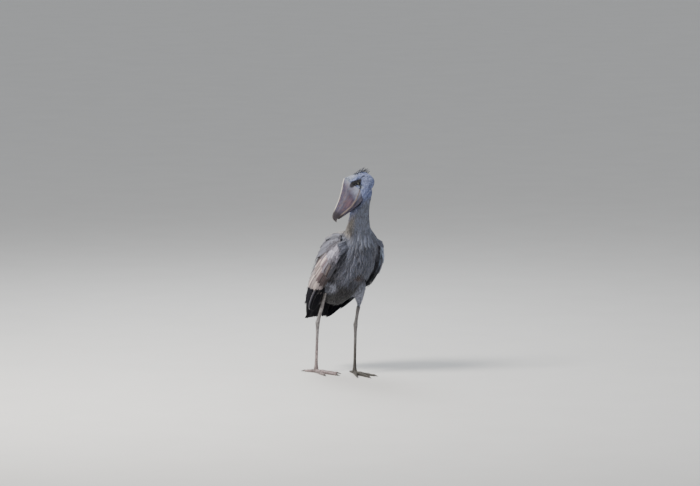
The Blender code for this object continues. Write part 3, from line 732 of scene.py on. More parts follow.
def markPlumage(mesh, points, normals):
    local = inHead(points)
    x, y, z = local.T
    east, north, high = (points - np.array(shift)).T
    drift = np.array([noise.noise(Vector(p) * driftScale["size"]) for p in points])
    # across and up in the photo's view, and how far the skin faces it
    sine, cosine, tilt, level = .616, .788, .122, .9925
    across, up = cosine * east - sine * north, level * high + tilt * (sine * east + cosine * north)
    facing = ramp(.1, .5, -sine * normals[:, 0] - cosine * normals[:, 1])
    toSpot = np.hypot(across - marks["spot"][0], up - marks["spot"][1]) + .008 * drift
    toKnee = np.hypot((across - marks["knee"][0]) * .75, up - marks["knee"][1]) + .006 * drift
    toLegs = ramp(.050, .026, fromLegs(east, north, marks["legs"]))
    thigh = toLegs * ramp(.53, .48, high) * ramp(.430, .455, high + .07 * (east > 0))
    # how far the skin faces the key lamp's side and the back
    hind = normals[:, 1] * .62 - normals[:, 0] * .79 + .15 * drift
    toHead = ramp(.115, .080, farFrom((-.015, 0, -.005), local))
    toHead = np.maximum(toHead, onJaw(local) * ramp(-.100, -.055, z + .008 * drift))
    cheek = ramp(.045, .015, np.hypot(x + .035, z + .020)) * (np.abs(y) > .02)
    face = ramp(.016, .006, np.hypot(x - .012, (z + .018) * .8)) * (np.abs(y) > .03)
    outer = ramp(.024, .034, np.abs(y)) * toHead
    layers = [
        # each is laid over those before it
        ("side", ramp(-.02, -.11, east) * .8),
        ("mantle", ramp(-.1, .6, normals[:, 1] * .8 + normals[:, 2] * .4)),
        # painted shade under the body, darkest at the vent
        ("belly", ramp(.560, .490, high + .025 * drift)),
        ("vent", ramp(.45, .37, high)),
        ("spot", facing * ramp(.033, .015, toSpot)),
        ("thigh", thigh),
        ("thigh", facing * ramp(.036, .018, toKnee)),
        ("neck", ramp(.70, .79, high)),
        # partly painted light: the neck's side turned to the key lamp is paler and creamier
        ("litThroat", ramp(.73, .79, high) * ramp(.30, .80, hind) * .9),
        ("head", toHead),
        ("crown", toHead * ramp(.026, .050, z + x * -.2) * .85),
        ("cheek", toHead * cheek),
        ("face", toHead * face),
        # painted shadow round the eye, under the brow and in the fold down to the mouth's corner
        *[("eyeShade", outer * nearLine(local, line, reach) * deep) for line, reach, deep in marks["stripes"]],
    ]
    colour = np.tile(np.array(plumage["breast"]), (len(points), 1))
    for name, share in layers:
        colour = mixed(colour, plumage[name], np.clip(share, 0, 1)[:, None])
    colour *= (1 + driftScale["strength"] * drift)[:, None]
    # dark shafts down the middle of the breast, and how pale each feather's edge is
    front = ramp(.15, -.45, normals[:, 1])
    streak = front * ramp(.545, .600, high) * ramp(.78, .70, high)
    edge = .45 + .45 * streak - .35 * toHead - .35 * ramp(.560, .500, high)
    storeOn(mesh, streak=np.clip(.18 + .82 * streak + .25 * drift * front, 0, 1),
            plumage=np.column_stack([colour, np.clip(edge, 0, 1)]))


def unwrapSkin(obj):
    bpy.context.view_layer.objects.active = obj
    obj.select_set(True)
    bpy.ops.object.mode_set(mode="EDIT")
    bpy.ops.mesh.select_all(action="SELECT")
    bpy.ops.uv.smart_project(angle_limit=math.radians(66), island_margin=.004)
    bpy.ops.object.mode_set(mode="OBJECT")
    obj.select_set(False)
    obj.data.uv_layers[0].name = "OFBake"


coatPieces = [
    # region, feathers, spacing, length, width, lift, stray, seed
    ("head", "down", .0027, .0125, .0044, .09, .20, 11),
    ("neck", "down", .0042, .022, .0072, .12, .20, 12),
    ("breast", "lance", .0072, .056, .0145, .14, .13, 13),
    ("back", "round", .0088, .044, .0220, .12, .12, 14),
    ("belly", "lance", .0066, .036, .0125, .16, .22, 15),
    ("thigh", "down", .0050, .021, .0105, .17, .18, 16),
]
regions = dict(neck=(.755, .800), breast=(.545, .600), legs=[(.074, -.100), (-.050, .010)])


def regionShares(points, normals):
    local = inHead(points)
    x, _, z = local.T
    east, north, high = (points - np.array(shift)).T
    around = farFrom((-.020, 0, -.010), local)
    head = np.maximum(ramp(.108, .088, around), onJaw(local) * (around < .13))
    aboveNeck = ramp(*regions["neck"], high)
    neck, rest = (1 - head) * aboveNeck, (1 - head) * (1 - aboveNeck)
    leg = 1 - ramp(.040, .056, fromLegs(east, north, regions["legs"]))
    thigh = rest * np.maximum(leg * ramp(.520, .490, high), ramp(.450, .430, high) * (leg > 0))
    rest = rest - thigh
    breast = rest * ramp(.10, -.25, normals[:, 1]) * ramp(*regions["breast"], high)
    belly = rest * ramp(*regions["breast"][::-1], high) * ramp(.55, .25, normals[:, 1])
    shares = dict(head=head, neck=neck, breast=breast, back=rest - breast - belly, belly=belly, thigh=thigh)
    # no feather roots beyond forehead and cheeks, under the bill's base, or on the bare ring round each eye
    front = np.where(z > -.024, .0235, .0365 - .60 * (z + .05))
    bare = ramp(front, front + .0015, x) * (around < .12) * ramp(-.100, -.094, z)
    for side in (1, -1):
        bare = np.maximum(bare, ramp(.0138, .0122, farFrom(eyeCentre(side, .046), local)))
    return {name: np.clip(share, 0, 1) * (1 - bare) for name, share in shares.items()}


def makeCoat(skin, material):
    # each region has its own piece; the skin's unwrap gives each feather its place on the map
    mesh = skin.data
    points, normals = pointsOf(mesh)
    shares = regionShares(points, normals)
    rootMap = np.zeros((len(points), 3))
    corner, owner = np.empty(len(mesh.loops) * 2), np.empty(len(mesh.loops), int)
    mesh.uv_layers["OFBake"].data.foreach_get("uv", corner)
    mesh.loops.foreach_get("vertex_index", owner)
    rootMap[owner, :2] = corner.reshape(-1, 2)
    storeOn(mesh, rootPlace=rootMap, cover=np.ones(len(points)))
    made = []
    for region, shapeName, spacing, length, width, lift, stray, seed in coatPieces:
        mesh.attributes["cover"].data.foreach_set("value", shares[region].astype(np.float32))
        made.append(grown(f"{region}_coat", skin, coat, {
            "Feathers": templates[shapeName], "Spacing": spacing * 1, "Length": length,
            "Width": width * 1, "Lift": lift, "Stray": stray, "Seed": seed,
            "Material": material,
        }))
    return made


# Long feathers of wing, tail and crest: finer blades that follow their own curves

longShapes = {
    # one vane of a flight feather is narrower than the other; a covert's are alike
    "flight": dict(line=[(0, .26), (.05, .52), (.14, .78), (.28, .93), (.42, 1), (.56, .99), (.68, .95),
                         (.78, .88), (.86, .77), (.92, .62), (.965, .42), (1, .12)],
                   arch=.20, narrow=.62, ragged=.05, rows=3),
    "covert": dict(line=[(0, .34), (.08, .66), (.22, .90), (.40, 1), (.58, .99), (.74, .90), (.86, .72),
                         (.94, .48), (1, .10)],
                   arch=.30, narrow=.92, ragged=.08, rows=3),
    "streamer": dict(line=[(0, .50), (.15, .85), (.35, 1), (.55, .90), (.75, .66), (.90, .40), (1, .06)],
                     arch=.25, narrow=.9, ragged=.16, rows=2),
}


def longBlade(shape, across, seed):
    # upper side from edge to edge, then the underside back again
    draw = random.Random(seed + 40)
    points, spots = [], []
    for x, wide in shape["line"]:
        frays = [1 - shape["ragged"] * abs(draw.uniform(-1, 1)) * ramp(.1, .6, x) for _ in (0, 1)]
        lags = [draw.uniform(.2, 1) for _ in (0, 1)]
        quill = .22 * (1 - .75 * x)
        for v, upper in [(v, True) for v in across] + [(v, False) for v in across[::-1]]:
            share = shape["narrow"] if v < 0 else 2 - shape["narrow"]
            atEdge = abs(v) == 1
            inset = (1 if upper else .96) * frays[v > 0] if atEdge else 1
            rise = (quill if v == 0 else .025 if atEdge else .07) if upper else -(quill if v == 0 else .05)
            lag = .035 * abs(v) ** 2 * lags[v > 0] * ramp(.2, .9, x)
            rise -= shape["arch"] * wide * abs(v) ** 1.8
            points.append((x - lag, .5 * wide * v * share * inset, rise))
            spots.append((x, .5 + .5 * v))
    ring = 2 * len(across)
    return points, spots, [(j, j + 1, ring - 2 - j, ring - 1 - j) for j in range(len(across) - 1)]


makeTemplates(longShapes, longBlade, 3)


def laidFeather(path, wide, colour, shade, edge=.1, tilt=0.0, deep=.006):
    # one feather's numbers: path(f) gives a point on it and the way out from the body
    (root, rootOut), (middle, _), (tip, tipOut) = ([np.array(v) for v in path(f)] for f in (0, .5, 1))
    bend = 2 * middle - (root + tip) / 2
    return dict(rootAt=root, bendAt=bend, tipAt=tip, rootOut=rootOut, tipOut=tipOut, wide=wide, tilt=tilt * 2,
                deep=deep, shade=shade, streak=.35, plumage=(*colour, edge))


def layFeathers(name, feathers, shapeName, material):
    count = len(feathers)
    mesh = meshOf("roots", [f["rootAt"] for f in feathers])
    # cells of the map, five times as wide as high, with a narrow gap between them
    columns = max(1, round(math.sqrt(count / 5)))
    lines = math.ceil(count / columns)
    cells = [((k % columns) / columns + .003, (k // columns) / lines + .001, 0) for k in range(count)]
    storeOn(mesh, **{label: [f[label] for f in feathers] for label in feathers[0]}, rootPlace=cells,
            cellSize=[(1 / columns - .006, 1 / lines - .002, 0)] * count)
    roots = addObject("roots", mesh)
    made = grown(name, roots, vanes, {"Feathers": templates[shapeName], "Material": material})
    bpy.data.objects.remove(roots)
    return made


# The folded wing: three lines from the bend to the tip give its outer face

wingLines = dict(
    lower=[(.124, -.158, .684), (.150, -.112, .556), (.124, -.006, .452), (.070, .098, .364),
           (.034, .194, .272)],
    middle=[(.130, -.134, .718), (.168, -.062, .626), (.152, .046, .522), (.100, .138, .410),
            (.040, .206, .280)],
    upper=[(.092, -.090, .756), (.070, .026, .722), (.040, .128, .618), (.024, .194, .474),
           (.030, .220, .290)],
    leftShift=(.010, -.018, 0),
    # how far each wing's lower edge droops from these lines, from bend to tip
    leftDroop=[(0, 0, 0), (0, 0, 0), (.012, 0, -.030), (.030, 0, -.026), (.030, -.002, -.010)],
    rightDroop=[(0, 0, 0), (0, 0, -.004), (0, 0, -.020), (0, 0, -.026), (0, 0, -.006)],
)
wingColours = dict(
    front=(.110, .116, .150), shoulder=(.300, .285, .350), brown=(.150, .100, .108), back=(.270, .225, .228),
    # the far wing's slate is painted shade: a darker, bluer copy of the near wing's colours
    dark=(.050, .034, .034), shadedSlate=(.180, .212, .285), pale=(.520, .430, .400), secondary=(.006, .006, .009),
    tertial=(.014, .013, .017), primary=(.004, .004, .006), scapular=(.105, .106, .135),
    alula=(.060, .060, .076), bordered=(.050, .050, .065),
)
paleEdges = dict(scapular=.35, tertial=.30)  # how pale a feather's edge is, where it isn't .10
wingRows = [
    # name, count, root and tip place along the wing, first and last place across it at root and tip,
    # half width, height at root and tip
    ("primary", 8, .50, .94, (.16, .56), (.14, .60), .0150, -.0090, -.0035),
    ("secondary", 12, .40, .800, (.05, .66), (.06, .66), .0175, -.0075, -.0005),
    ("secondary", 11, .40, .770, (.10, .62), (.11, .62), .0175, -.0110, -.0050),
    ("greater", 20, .300, .545, (.05, .80), (.04, .84), .0092, -.0050, .0035),
    ("median", 20, .190, .420, (.05, .82), (.04, .84), .0092, -.0045, .0050),
    ("lesser", 18, .100, .305, (.06, .82), (.05, .83), .0098, -.0045, .0055),
    ("lesser", 15, .030, .200, (.10, .84), (.08, .84), .0110, -.0045, .0060),
    ("alula", 3, .120, .300, (.02, .07), (.03, .06), .0090, -.0030, .0030),
    ("tertial", 6, .400, .850, (.68, .95), (.62, .90), .0185, -.0050, .0030),
    ("marginal", 17, -.050, .105, (.04, .96), (.04, .94), .0115, -.0140, .0040),
    ("marginal", 17, -.020, .160, (.06, .96), (.05, .92), .0115, -.0110, .0060),
    ("scapular", 6, .200, .540, (.88, .99), (.89, 1.0), .0165, -.0020, .0120),
    ("scapular", 8, .090, .400, (.78, .99), (.85, 1.0), .0165, .0000, .0150),
    ("scapular", 10, -.020, .260, (.66, .99), (.76, 1.0), .0165, -.0060, .0150),
]


def wingPoint(s, t, side):
    low, mid, top = (curveAt(wingLines[n], 4 * s) for n in ("lower", "middle", "upper"))
    crown = 2 * mid - (low + top) / 2
    droop = curveAt(wingLines["leftDroop" if side > 0 else "rightDroop"], 4 * s)
    return low * (1 - t) ** 2 + crown * 2 * t * (1 - t) + top * t * t + droop * (1 - t)


def wingOut(s, t, side):
    s, t, step = min(max(s, .004), .990), min(max(t, .01), .99), .004
    along = wingPoint(s + step, t, side) - wingPoint(s - step, t, side)
    across = wingPoint(s, t + step, side) - wingPoint(s, t - step, side)
    return unit(np.cross(along, across))


def onWing(point, side):
    moved = Vector((point[0] * side, point[1], point[2]))
    return placed(moved + Vector(wingLines["leftShift"]) if side > 0 else moved)


# how far the arm reaches along the wing, how deep its two faces lie under the wing's, and its feathers' looks
armSizes = dict(along=40, across=30, reach=.62, under=.0065, thin=.004, inner=.0095, thick=.040,
                paleEdge=.25, streak=.3)
armCoatSizes = {"Spacing": .0080, "Length": .032, "Width": .0170, "Lift": .10, "Stray": .15}


def makeWingArm(side, name, material):
    # the closed arm under the feathers; returns it with the small feathers round its edges and inner face
    along, across = armSizes["along"], armSizes["across"]
    rings, spots = [], []
    for i in range(along):
        s = armSizes["reach"] * i / (along - 1)
        upper, lower = [], []
        for j in range(across):
            t = .03 + .94 * j / (across - 1)
            edge = math.sin(math.pi * (.06 + .88 * t)) * math.sin(math.pi * (.10 + .86 * i / (along - 1)))
            point, out = wingPoint(s, t, side), wingOut(s, t, side)
            upper.append(onWing(point - out * (armSizes["under"] + armSizes["thin"] * (1 - edge)), side))
            lower.append(onWing(point - out * (armSizes["inner"] + armSizes["thick"] * edge), side))
            spots.append((s, t, 0))
        spots += [(s, t, 1) for s, t, _ in spots[-across:][::-1]]
        rings.append(upper + lower[::-1])
    arm = addObject(name, ringMesh(name, rings))
    mesh, sides = arm.data, 2 * across
    rings, spots = np.array([[tuple(p) for p in ring] for ring in rings]), np.array(spots)
    points, _ = pointsOf(mesh)
    nearest = np.array([np.argmin(((rings.reshape(-1, 3) - p) ** 2).sum(axis=1)) for p in points])
    ring, place = nearest // sides, nearest % sides
    ahead, behind = np.minimum(ring + 1, along - 1), np.maximum(ring - 1, 0)
    s, t, inner = spots[nearest].T
    draw = random.Random(60 + side)
    tones = [(*wingTone("inner" if face > .5 else "edge", a, b, side, draw)[0], armSizes["paleEdge"])
             for a, b, face in spots[nearest]]
    edges = [inner, ramp(.16, .08, t), ramp(.88, .94, t), ramp(.08, .03, s)]
    even = np.ones(len(points))
    grid = np.column_stack([ring / along, place / sides, 0 * even])
    storeOn(mesh, plumage=tones, streak=armSizes["streak"] * even, liftHere=even, rootPlace=grid,
            lie=unit(rings[ahead, place] - rings[behind, place]), sizeHere=.75 + .5 * ramp(0, .4, s),
            cover=np.max(edges, axis=0) * ramp(.62, .58, s))
    mapOnto(mesh, "OFBake", grid)
    values = {"Feathers": templates["round"], **armCoatSizes, "Seed": 30 + side, "Material": material}
    return arm, grown(f"{name}_coat", arm, coat, values)


def skinPlaces(skin):
    # gives, near any point, a place on the skin, the way out and the markings' colour there
    mesh = skin.data
    faces = [tuple(p.vertices) for p in mesh.polygons]
    surface = BVHTree.FromPolygons([tuple(v.co) for v in mesh.vertices], faces)

    def near(guess):
        spot, normal, face, _ = surface.find_nearest(guess)
        colour = mesh.attributes["plumage"].data[faces[face][0]].color
        return spot + normal * .001, normal, np.array(colour[:3])

    return near


def wingEnd(s, t, side, height):
    # a place over the wing's feathers, and the way out there
    out = Vector(wingOut(s, t, side) * np.array((side, 1, 1)))
    return onWing(wingPoint(s, t, side), side) + out * height, out


def bridge(start, tip, out, bow, half, tones, edge, draw):
    # a feather from the skin to the wing
    root, normal, colour = start
    points = {0: (root, normal), .5: ((root + tip) / 2 + (normal + out) * bow, normal), 1: (tip, out)}
    tone = colour * draw.uniform(*tones)
    wide = 2 * half * draw.uniform(.85, 1.15)
    return laidFeather(points.get, wide, tone, draw.uniform(0, 1), edge, deep=.005)


sideRows = [
    # how far ahead of the wing's edge the roots lie, count, half width, how far onto the wing the tips reach,
    # height there
    (.030, 17, .0070, .003, .002), (.020, 18, .0070, .010, .004), (.010, 18, .0070, .018, .006),
]
sideSizes = dict(start=.07, end={1: .24, -1: .33}, fall=.17, corner=.42)  # as shares of the wing's edge


def edgePlace(f):
    # down the bend of the wing, then along its lower edge
    corner = sideSizes["corner"]
    return (0, .92 - .86 * f / corner) if f < corner else (.52 * (f - corner) / (1 - corner), .05)


def sideFeathers(side, near):
    # long breast feathers over the bend of each wing
    draw = random.Random(80 + side)
    start, end = sideSizes["start"], sideSizes["end"][side]
    made = []
    for ahead, count, half, onto, height in sideRows:
        for k in range(count):
            f = start + min(max((k + draw.uniform(-.4, .4)) / (count - 1), 0), 1) * (end - start)
            s, t = edgePlace(f)
            root = near(onWing(wingPoint(s, t, side), side) + Vector((-side * .006, -ahead, 0)))
            tipS, tipT = edgePlace(f + sideSizes["fall"])
            tip, out = wingEnd(tipS + onto, tipT, side, height)
            tip += Vector((0, 0, -.010)) * draw.uniform(0, 1)
            made.append(bridge(root, tip, out, .0040, half, (.9, 1.3), .3, draw))
    return made


mantleRows = [
    # how far towards the back's middle the roots lie, count, half width, the tips' place across and height
    (.058, 12, .0135, .98, .0125), (.044, 13, .0130, .965, .0145), (.030, 14, .0125, .945, .0165),
    (.016, 15, .0120, .92, .0185),
]
mantleReach = dict(start=.01, end=.66, step=.23)  # places along the wing, and how much further on a tip lies


def mantleFeathers(side, near):
    # feathers of the back that close the valley between the back and each wing
    draw = random.Random(84 + side)
    start, end, step = mantleReach.values()
    made = []
    for inward, count, half, across, height in mantleRows:
        for k in range(count):
            s = start + (end - start) * min(max((k + draw.uniform(-.3, .3)) / (count - 1), 0), 1)
            root = near(onWing(wingPoint(s, 1, side), side) + Vector((-side * inward, 0, .010)))
            tip, out = wingEnd(min(s + step, .96), across, side, height)
            made.append(bridge(root, tip, out, .0060, half, (.95, 1.25), .25, draw))
    return made


def wingTone(name, s, t, side, draw):
    # slate in front and below, browner with pale edges outside and behind, and on the far wing a darker,
    # bluer slate that is painted shade; colour and how pale the edge is
    if name == "inner":
        return mixed(wingColours["front"], wingColours["secondary"], ramp(.12, .34, s)), .2
    if name == "secondary" and side < 0 and abs(t - .17) < .03:
        # one with a pale border shows below the coverts
        return np.array(wingColours["bordered"]), 1
    if name in wingColours:
        return np.array(wingColours[name]), paleEdges.get(name, .10)
    jitter = draw.uniform(-.06, .06)
    hind = np.array(wingColours["back" if side < 0 else "shadedSlate"])
    chance = draw.random()
    # painted shade: the far wing, away from the key lamp, takes a darker, bluer slate than the near wing
    if side > 0:
        low = ramp(.44, .24, t + jitter) * ramp(.16, .30, s)
        return hind * (1 - .88 * low) * draw.uniform(.8, 1.2), .25
    # a pale shoulder, then browner feathers streaked with pale ones, over a cream band behind
    behind = ramp(.14, .26, s + jitter)
    hindmost = float(name == "greater")
    colour = mixed(mixed(wingColours["shoulder"], wingColours["brown"], behind), hind, hindmost)
    under = ramp(-.18, -.08, t - .62 - .55 * s) * ramp(.50, .40, s)  # in the scapulars' shade
    # painted shade: coverts low along the wing's front edge, next to the breast, are darkened
    front = ramp(.34, .16, t + jitter) * ramp(.02, .10, s) * (1 - .7 * hindmost)
    if chance > 1 - .38 * behind * ramp(.10, .40, t):
        colour = mixed(colour, wingColours["pale"], .75)
    elif chance < .30 * behind:
        colour = mixed(colour, wingColours["dark"], .55)
    return colour * (1 - .75 * under) * (1 - .78 * front), .20 + .65 * behind * (1 - front)


def wingFeathers(side):
    draw = random.Random(71 if side > 0 else 72)
    groups = {"covert": [], "flight": []}
    for name, count, s0, s1, roots, tips, half, low, high in wingRows:
        for k in range(count):
            f = k / (count - 1)
            rootS, tipS = s0 + draw.uniform(-.012, .012), s1 + draw.uniform(-.012, .012)
            rootT = roots[0] + (roots[1] - roots[0]) * f
            tipT = tips[0] + (tips[1] - tips[0]) * f + draw.uniform(-.010, .010)
            layer = 0
            if name == "primary":
                tipS, layer = .985 - .016 * abs(k - 3.5), .0011 * (1 if k % 2 else -1)
            if name == "greater":  # together they end in a line across the wing
                rootS, tipS = rootS - .08 + .20 * rootT, tipS - .115 + .33 * tipT
            if name == "scapular":
                rootS, tipS = rootS + .05 * (1 - f), tipS + .10 * (1 - f)

            def path(at):
                s, t = rootS + (tipS - rootS) * at, rootT + (tipT - rootT) * at
                out = wingOut(s, t, side)
                rise = low + (high - low) * at + layer
                return onWing(wingPoint(s, t, side) + out * rise, side), out * np.array((side, 1, 1))

            long = name in ("primary", "secondary", "tertial")
            kind, deep = ("flight", .0065) if long else ("covert", .0055)
            colour, edge = wingTone(name, (rootS + tipS) / 2, (rootT + tipT) / 2, side, draw)
            wide = 2 * half * draw.uniform(.92, 1.08)
            groups[kind].append(laidFeather(path, wide, colour, draw.uniform(0, 1), edge, .0024 * side, deep))
    return groups


tailSizes = dict(spread=(.022, .068), layer=.0013)
tailRows = [
    # kind, count, root's place along the body, length, half width, height, colour, 1 above and -1 below
    ("long", 12, .050, .168, .0155, .006, wingColours["primary"], 1),
    ("short", 7, .085, .098, .0160, .013, (.030, .029, .036), 1),
    ("short", 6, .110, .085, .0170, .020, (.062, .060, .074), 1),
    ("short", 7, .075, .094, .0150, -.010, (.040, .037, .042), -1),
    ("short", 6, .095, .080, .0160, -.018, (.050, .047, .052), -1),
]


def tailFeathers():
    draw = random.Random(73)
    tilt = stance["axisTilt"]
    back = np.array((0, math.sin(tilt), math.cos(tilt)))
    down = np.array(axisPoint(0) - axisPoint(1))
    narrow, broad = tailSizes["spread"]
    groups = {"long": [], "short": []}
    for kind, count, start, length, half, height, colour, face in tailRows:
        for k in range(count):
            f = 2 * k / (count - 1) - 1
            reach = length * (1 - .06 * f * f) * (1 if kind == "long" else draw.uniform(.92, 1.06))
            layer = abs(k - (count - 1.2) / 2) * tailSizes["layer"]

            def path(at):
                across = np.array((f * (narrow + (broad - narrow) * at), 0, 0))
                settle = 1 - .75 * at if kind != "long" else 1
                rise = back * ((height - .004 * face * f * f) * settle - layer * face)
                point = np.array(axisPoint(start)) + down * reach * at + across + rise
                return placed(point), unit(back * face + np.array((.25 * f, 0, 0)))

            groups[kind].append(laidFeather(path, 2 * half, colour, draw.uniform(0, 1)))
    return groups["long"], groups["short"]


crestRows = [
    # place along the head, height, length, count, how far across
    (-.020, .0445, .018, 9, .022), (-.032, .0390, .026, 10, .024), (-.044, .0310, .036, 10, .022),
    (-.054, .0220, .042, 8, .017),
    (-.063, .0110, .038, 7, .015), (-.069, -.0020, .034, 6, .013),
]


def crestFeathers():
    draw = random.Random(74)
    made = []
    for x, z, length, count, across in crestRows:
        for k in range(count):
            f = 2 * k / (count - 1) - 1
            ahead = unit(np.array((-.90, .42 * f + draw.uniform(-.14, .14), .30 + draw.uniform(-.12, .20))))
            reach = length * (1 - .25 * f * f) * draw.uniform(.75, 1.1)
            root = np.array((x + draw.uniform(-.004, .004), across * f, z - .008 * f * f))

            def path(at):
                local = root + ahead * reach * at + np.array((0, 0, -.35 * reach * at * at))
                return outOfHead(local[None])[0], headMatrix[:3, :3] @ unit(np.array((.3, .2, 1)))

            made.append(laidFeather(path, .0070, (.022, .025, .040), draw.uniform(0, 1), deep=.003))
    return made


# Bill: vaulted upper half with its ridge, grooves and hook, and the trough of the lower half

billSizes = dict(
    rings=88, across=56, hookRings=14, floorPoints=14, gap=.0003, floorHollow=.004,
    grooveDepth=.0011, grooveWide=.0030, grooveAt=.265, ridgeHigh=.0012, nailHigh=.0009,
    pits=.00022, fibres=.00045, edgeWear=.0005,
    nostril=[(.043, .0120), (.053, .0128), (.064, .0122)], nostrilWide=.0017, nostrilDeep=.0030,
)
billLine = [
    # place, ridge height, mouth line, lower edge, half width
    (.0225, .0725, -.026, -.069, .0435), (.045, .0625, -.034, -.0735, .0475),
    (.080, .0445, -.043, -.0725, .0495), (.120, .0285, -.045, -.0655, .0485),
    (.160, .0165, -.037, -.0545, .0435), (.193, .0085, -.030, -.0435, .0345),
    (.216, -.0010, -.027, -.0350, .0225),
]
hookLine = [(.2235, -.0075, -.0305, .0150), (.2280, -.0150, -.0345, .0095), (.2295, -.0205, -.0370, .0050)]
# half width and height of a cross-section, as shares, from the mouth to the ridge and to the keel
upperProfile = [(1.0, 0), (.992, .14), (.965, .30), (.90, .50), (.79, .66), (.64, .79), (.45, .885),
                (.27, .93), (.16, .965), (.06, 1.0), (0, 1.0)]
lowerProfile = [(1.0, 1.0), (.985, .80), (.94, .58), (.84, .36), (.66, .17), (.42, .06), (.18, .01), (0, 0)]


def billHalf(name, upper):
    # rings along the bill in the head's own frame, then grooves, nostrils and wear along the normals
    rows = resampled(billLine, billSizes["rings"])
    if upper:
        stations = [(x, ridge, mouth, half) for x, ridge, mouth, _, half in rows]
        stations += resampled([stations[-1], *hookLine], billSizes["hookRings"])[1:]
    else:
        stations = [(x, mouth - billSizes["gap"], low, half * .95) for x, _, mouth, low, half in rows][:-6]
    half = resampled(upperProfile if upper else lowerProfile, billSizes["across"] // 2 + 1)
    rings = []
    for x, top, low, wide in stations:
        right = [(x, wide * max(y, 0), low + (top - low) * z) for y, z in half]
        left = [(x, -y, z) for _, y, z in right[-2::-1]]
        # the mouth's side of each half is closed by a shallow hollow
        hollow = min(billSizes["floorHollow"], (top - low) * .3) * (1 if upper else -1)
        mouth = low if upper else top
        turns = [math.pi * k / billSizes["floorPoints"] for k in range(1, billSizes["floorPoints"])]
        floor = [(x, -wide * .97 * math.cos(a), mouth + hollow * math.sin(a)) for a in turns]
        rings.append(right + left + floor)
    mesh = ringMesh(name, rings)
    points, normals = pointsOf(mesh)
    x, y, z = points.T
    away = np.abs(y)
    places, *lines = zip(*stations)
    ridgeAt, lowAt, wide = (np.interp(x, places, line) for line in lines)
    push = np.zeros(len(points))
    if upper:
        # a groove each side of the ridge, from the nostril to the hook, and the nostril's slit in it
        onTop = z > ridgeAt - .02
        groove = np.exp(-((away - wide * billSizes["grooveAt"]) / billSizes["grooveWide"]) ** 2)
        push -= billSizes["grooveDepth"] * groove * ramp(.030, .045, x) * onTop
        ridge = np.exp(-(away / (wide * .12 + .001)) ** 2)
        push += billSizes["ridgeHigh"] * ridge * ramp(.024, .040, x) * (z > ridgeAt - .01)
        slitX, slitY = zip(*billSizes["nostril"])
        slit = np.exp(-((away - np.interp(x, slitX, slitY)) / billSizes["nostrilWide"]) ** 2)
        slit *= ramp(slitX[0] - .003, slitX[0] + .002, x)
        slit *= ramp(slitX[-1] + .003, slitX[-1] - .002, x)
        push -= billSizes["nostrilDeep"] * slit * onTop
        # the nail at the tip stands a little proud of the vault
        push += billSizes["nailHigh"] * ramp(.196, .203, x)
    byMouth = np.abs(z - (lowAt if upper else ridgeAt)) < .003
    for k, p in enumerate(points):
        flow, v = Vector(p * np.array((14, 60, 60))), Vector(p)
        push[k] += billSizes["fibres"] * noise.noise(flow) + billSizes["pits"] * noise.noise(v * 420)
        if byMouth[k]:
            push[k] -= billSizes["edgeWear"] * abs(noise.noise(v * 300))
    points = points + normals * push[:, None]
    # the markings' own place is kept in the head's frame
    mouthAt = np.interp(x, [r[0] for r in billLine], [r[2] for r in billLine])
    storeOn(mesh, billAt=points, fromMouth=np.abs(points[:, 2] - mouthAt))
    return headPiece(name, mesh, points)


def headPiece(name, mesh, points):
    setPoints(mesh, outOfHead(points))
    mesh.shade_smooth()
    return addObject(name, mesh)


def billMaterial():
    # horn: mauve grey flanks with darker fibres and blotches, paler and bluer towards the face,
    # with a cream ridge and edges and a dark hook; the ridge's cream is partly the horn's own, partly a
    # painted highlight
    made, tree, shader = newMaterial("bill horn", .50, 0, .16)
    at = namedValue(tree, "billAt", "Vector")
    x, y, z = split(at)
    streaks = noiseAt(at * (26, 240, 240), 1.0, 5.0, .62)
    blots = noiseAt(at * (38, 70, 70), 1.0, 4.0, .6)
    fine = noiseAt(at * (90, 900, 900), 1.0)
    base = between(x + z * .42 + blots * .040, .100, .046, 0.0, .95) * between(streaks, .25, .75, 1.0, .55)
    ridge = between(abs(y), .0080, .0020) * between(z + x * .42, .045, .062)
    # reach of the painted shade before the eye
    toEyeShade = lengthOf((at - (.026, 0, .020)) * (.80, 0, 1.25))
    toPatch = lengthOf((at - (.118, 0, -.024)) * (.62, 0, 1.0))
    colour = layered(
        mixColour(between(streaks, .32, .68), (.028, .026, .046), (.074, .064, .098)),
        (between(blots, .50, .70, 0.0, .70), (.105, .062, .062)),
        (base * between(z, -.056, -.034, .25, 1.0), (.290, .315, .410)),
        (between(namedValue(tree, "fromMouth"), .0065, .0005, 0.0, .80), (.340, .270, .235)),
        # the pale ridge: partly the horn's own cream, partly a painted highlight along the top
        (ridge * .85, (.78, .74, .64)),
        (between(x + blots * .020, .180, .210, 0.0, .92), (.018, .016, .020)),
        # painted shade: a dark smudge in front of the eye, in the brow's shadow; and a warm patch low on the
        # flank
        (between(toEyeShade, .0210, .0110, 0.0, .96) * between(abs(y), .024, .031), (.010, .009, .012)),
        (between(toPatch, .026, .004, 0.0, .42) * between(streaks, .30, .60, .45, 1.0), (.200, .110, .115)),
        (between(fine, .40, .62, .0, .16), (.10, .08, .08)),
    )
    plugIn(shader, "Roughness", between(blots, .3, .7, .36, .58))
    dressed(shader, colour, fine * .5 + streaks, .35, .0009)
    return made


# Eyes: ball with iris, a clear cornea over it, and wrinkled bare lids round both

eyeSizes = dict(iris=.0088, dish=.0013, pupil=.0036, pupilDeep=.0005, ballShare=.985, ballRings=44, around=48,
                corneaEdge=.0100, bulge=.0010, corneaThick=.0005, corneaRings=14,
                lidRadius=.0147, lidRings=26, lidAround=96, opening=(42, 15, 24))


def eyeRing(side, off, depth):
    x, y, z = eyeCentre(side)
    turns = turnsOf(eyeSizes["around"])
    return [(x + off * math.cos(a), y + side * depth, z + off * math.sin(a)) for a in turns]


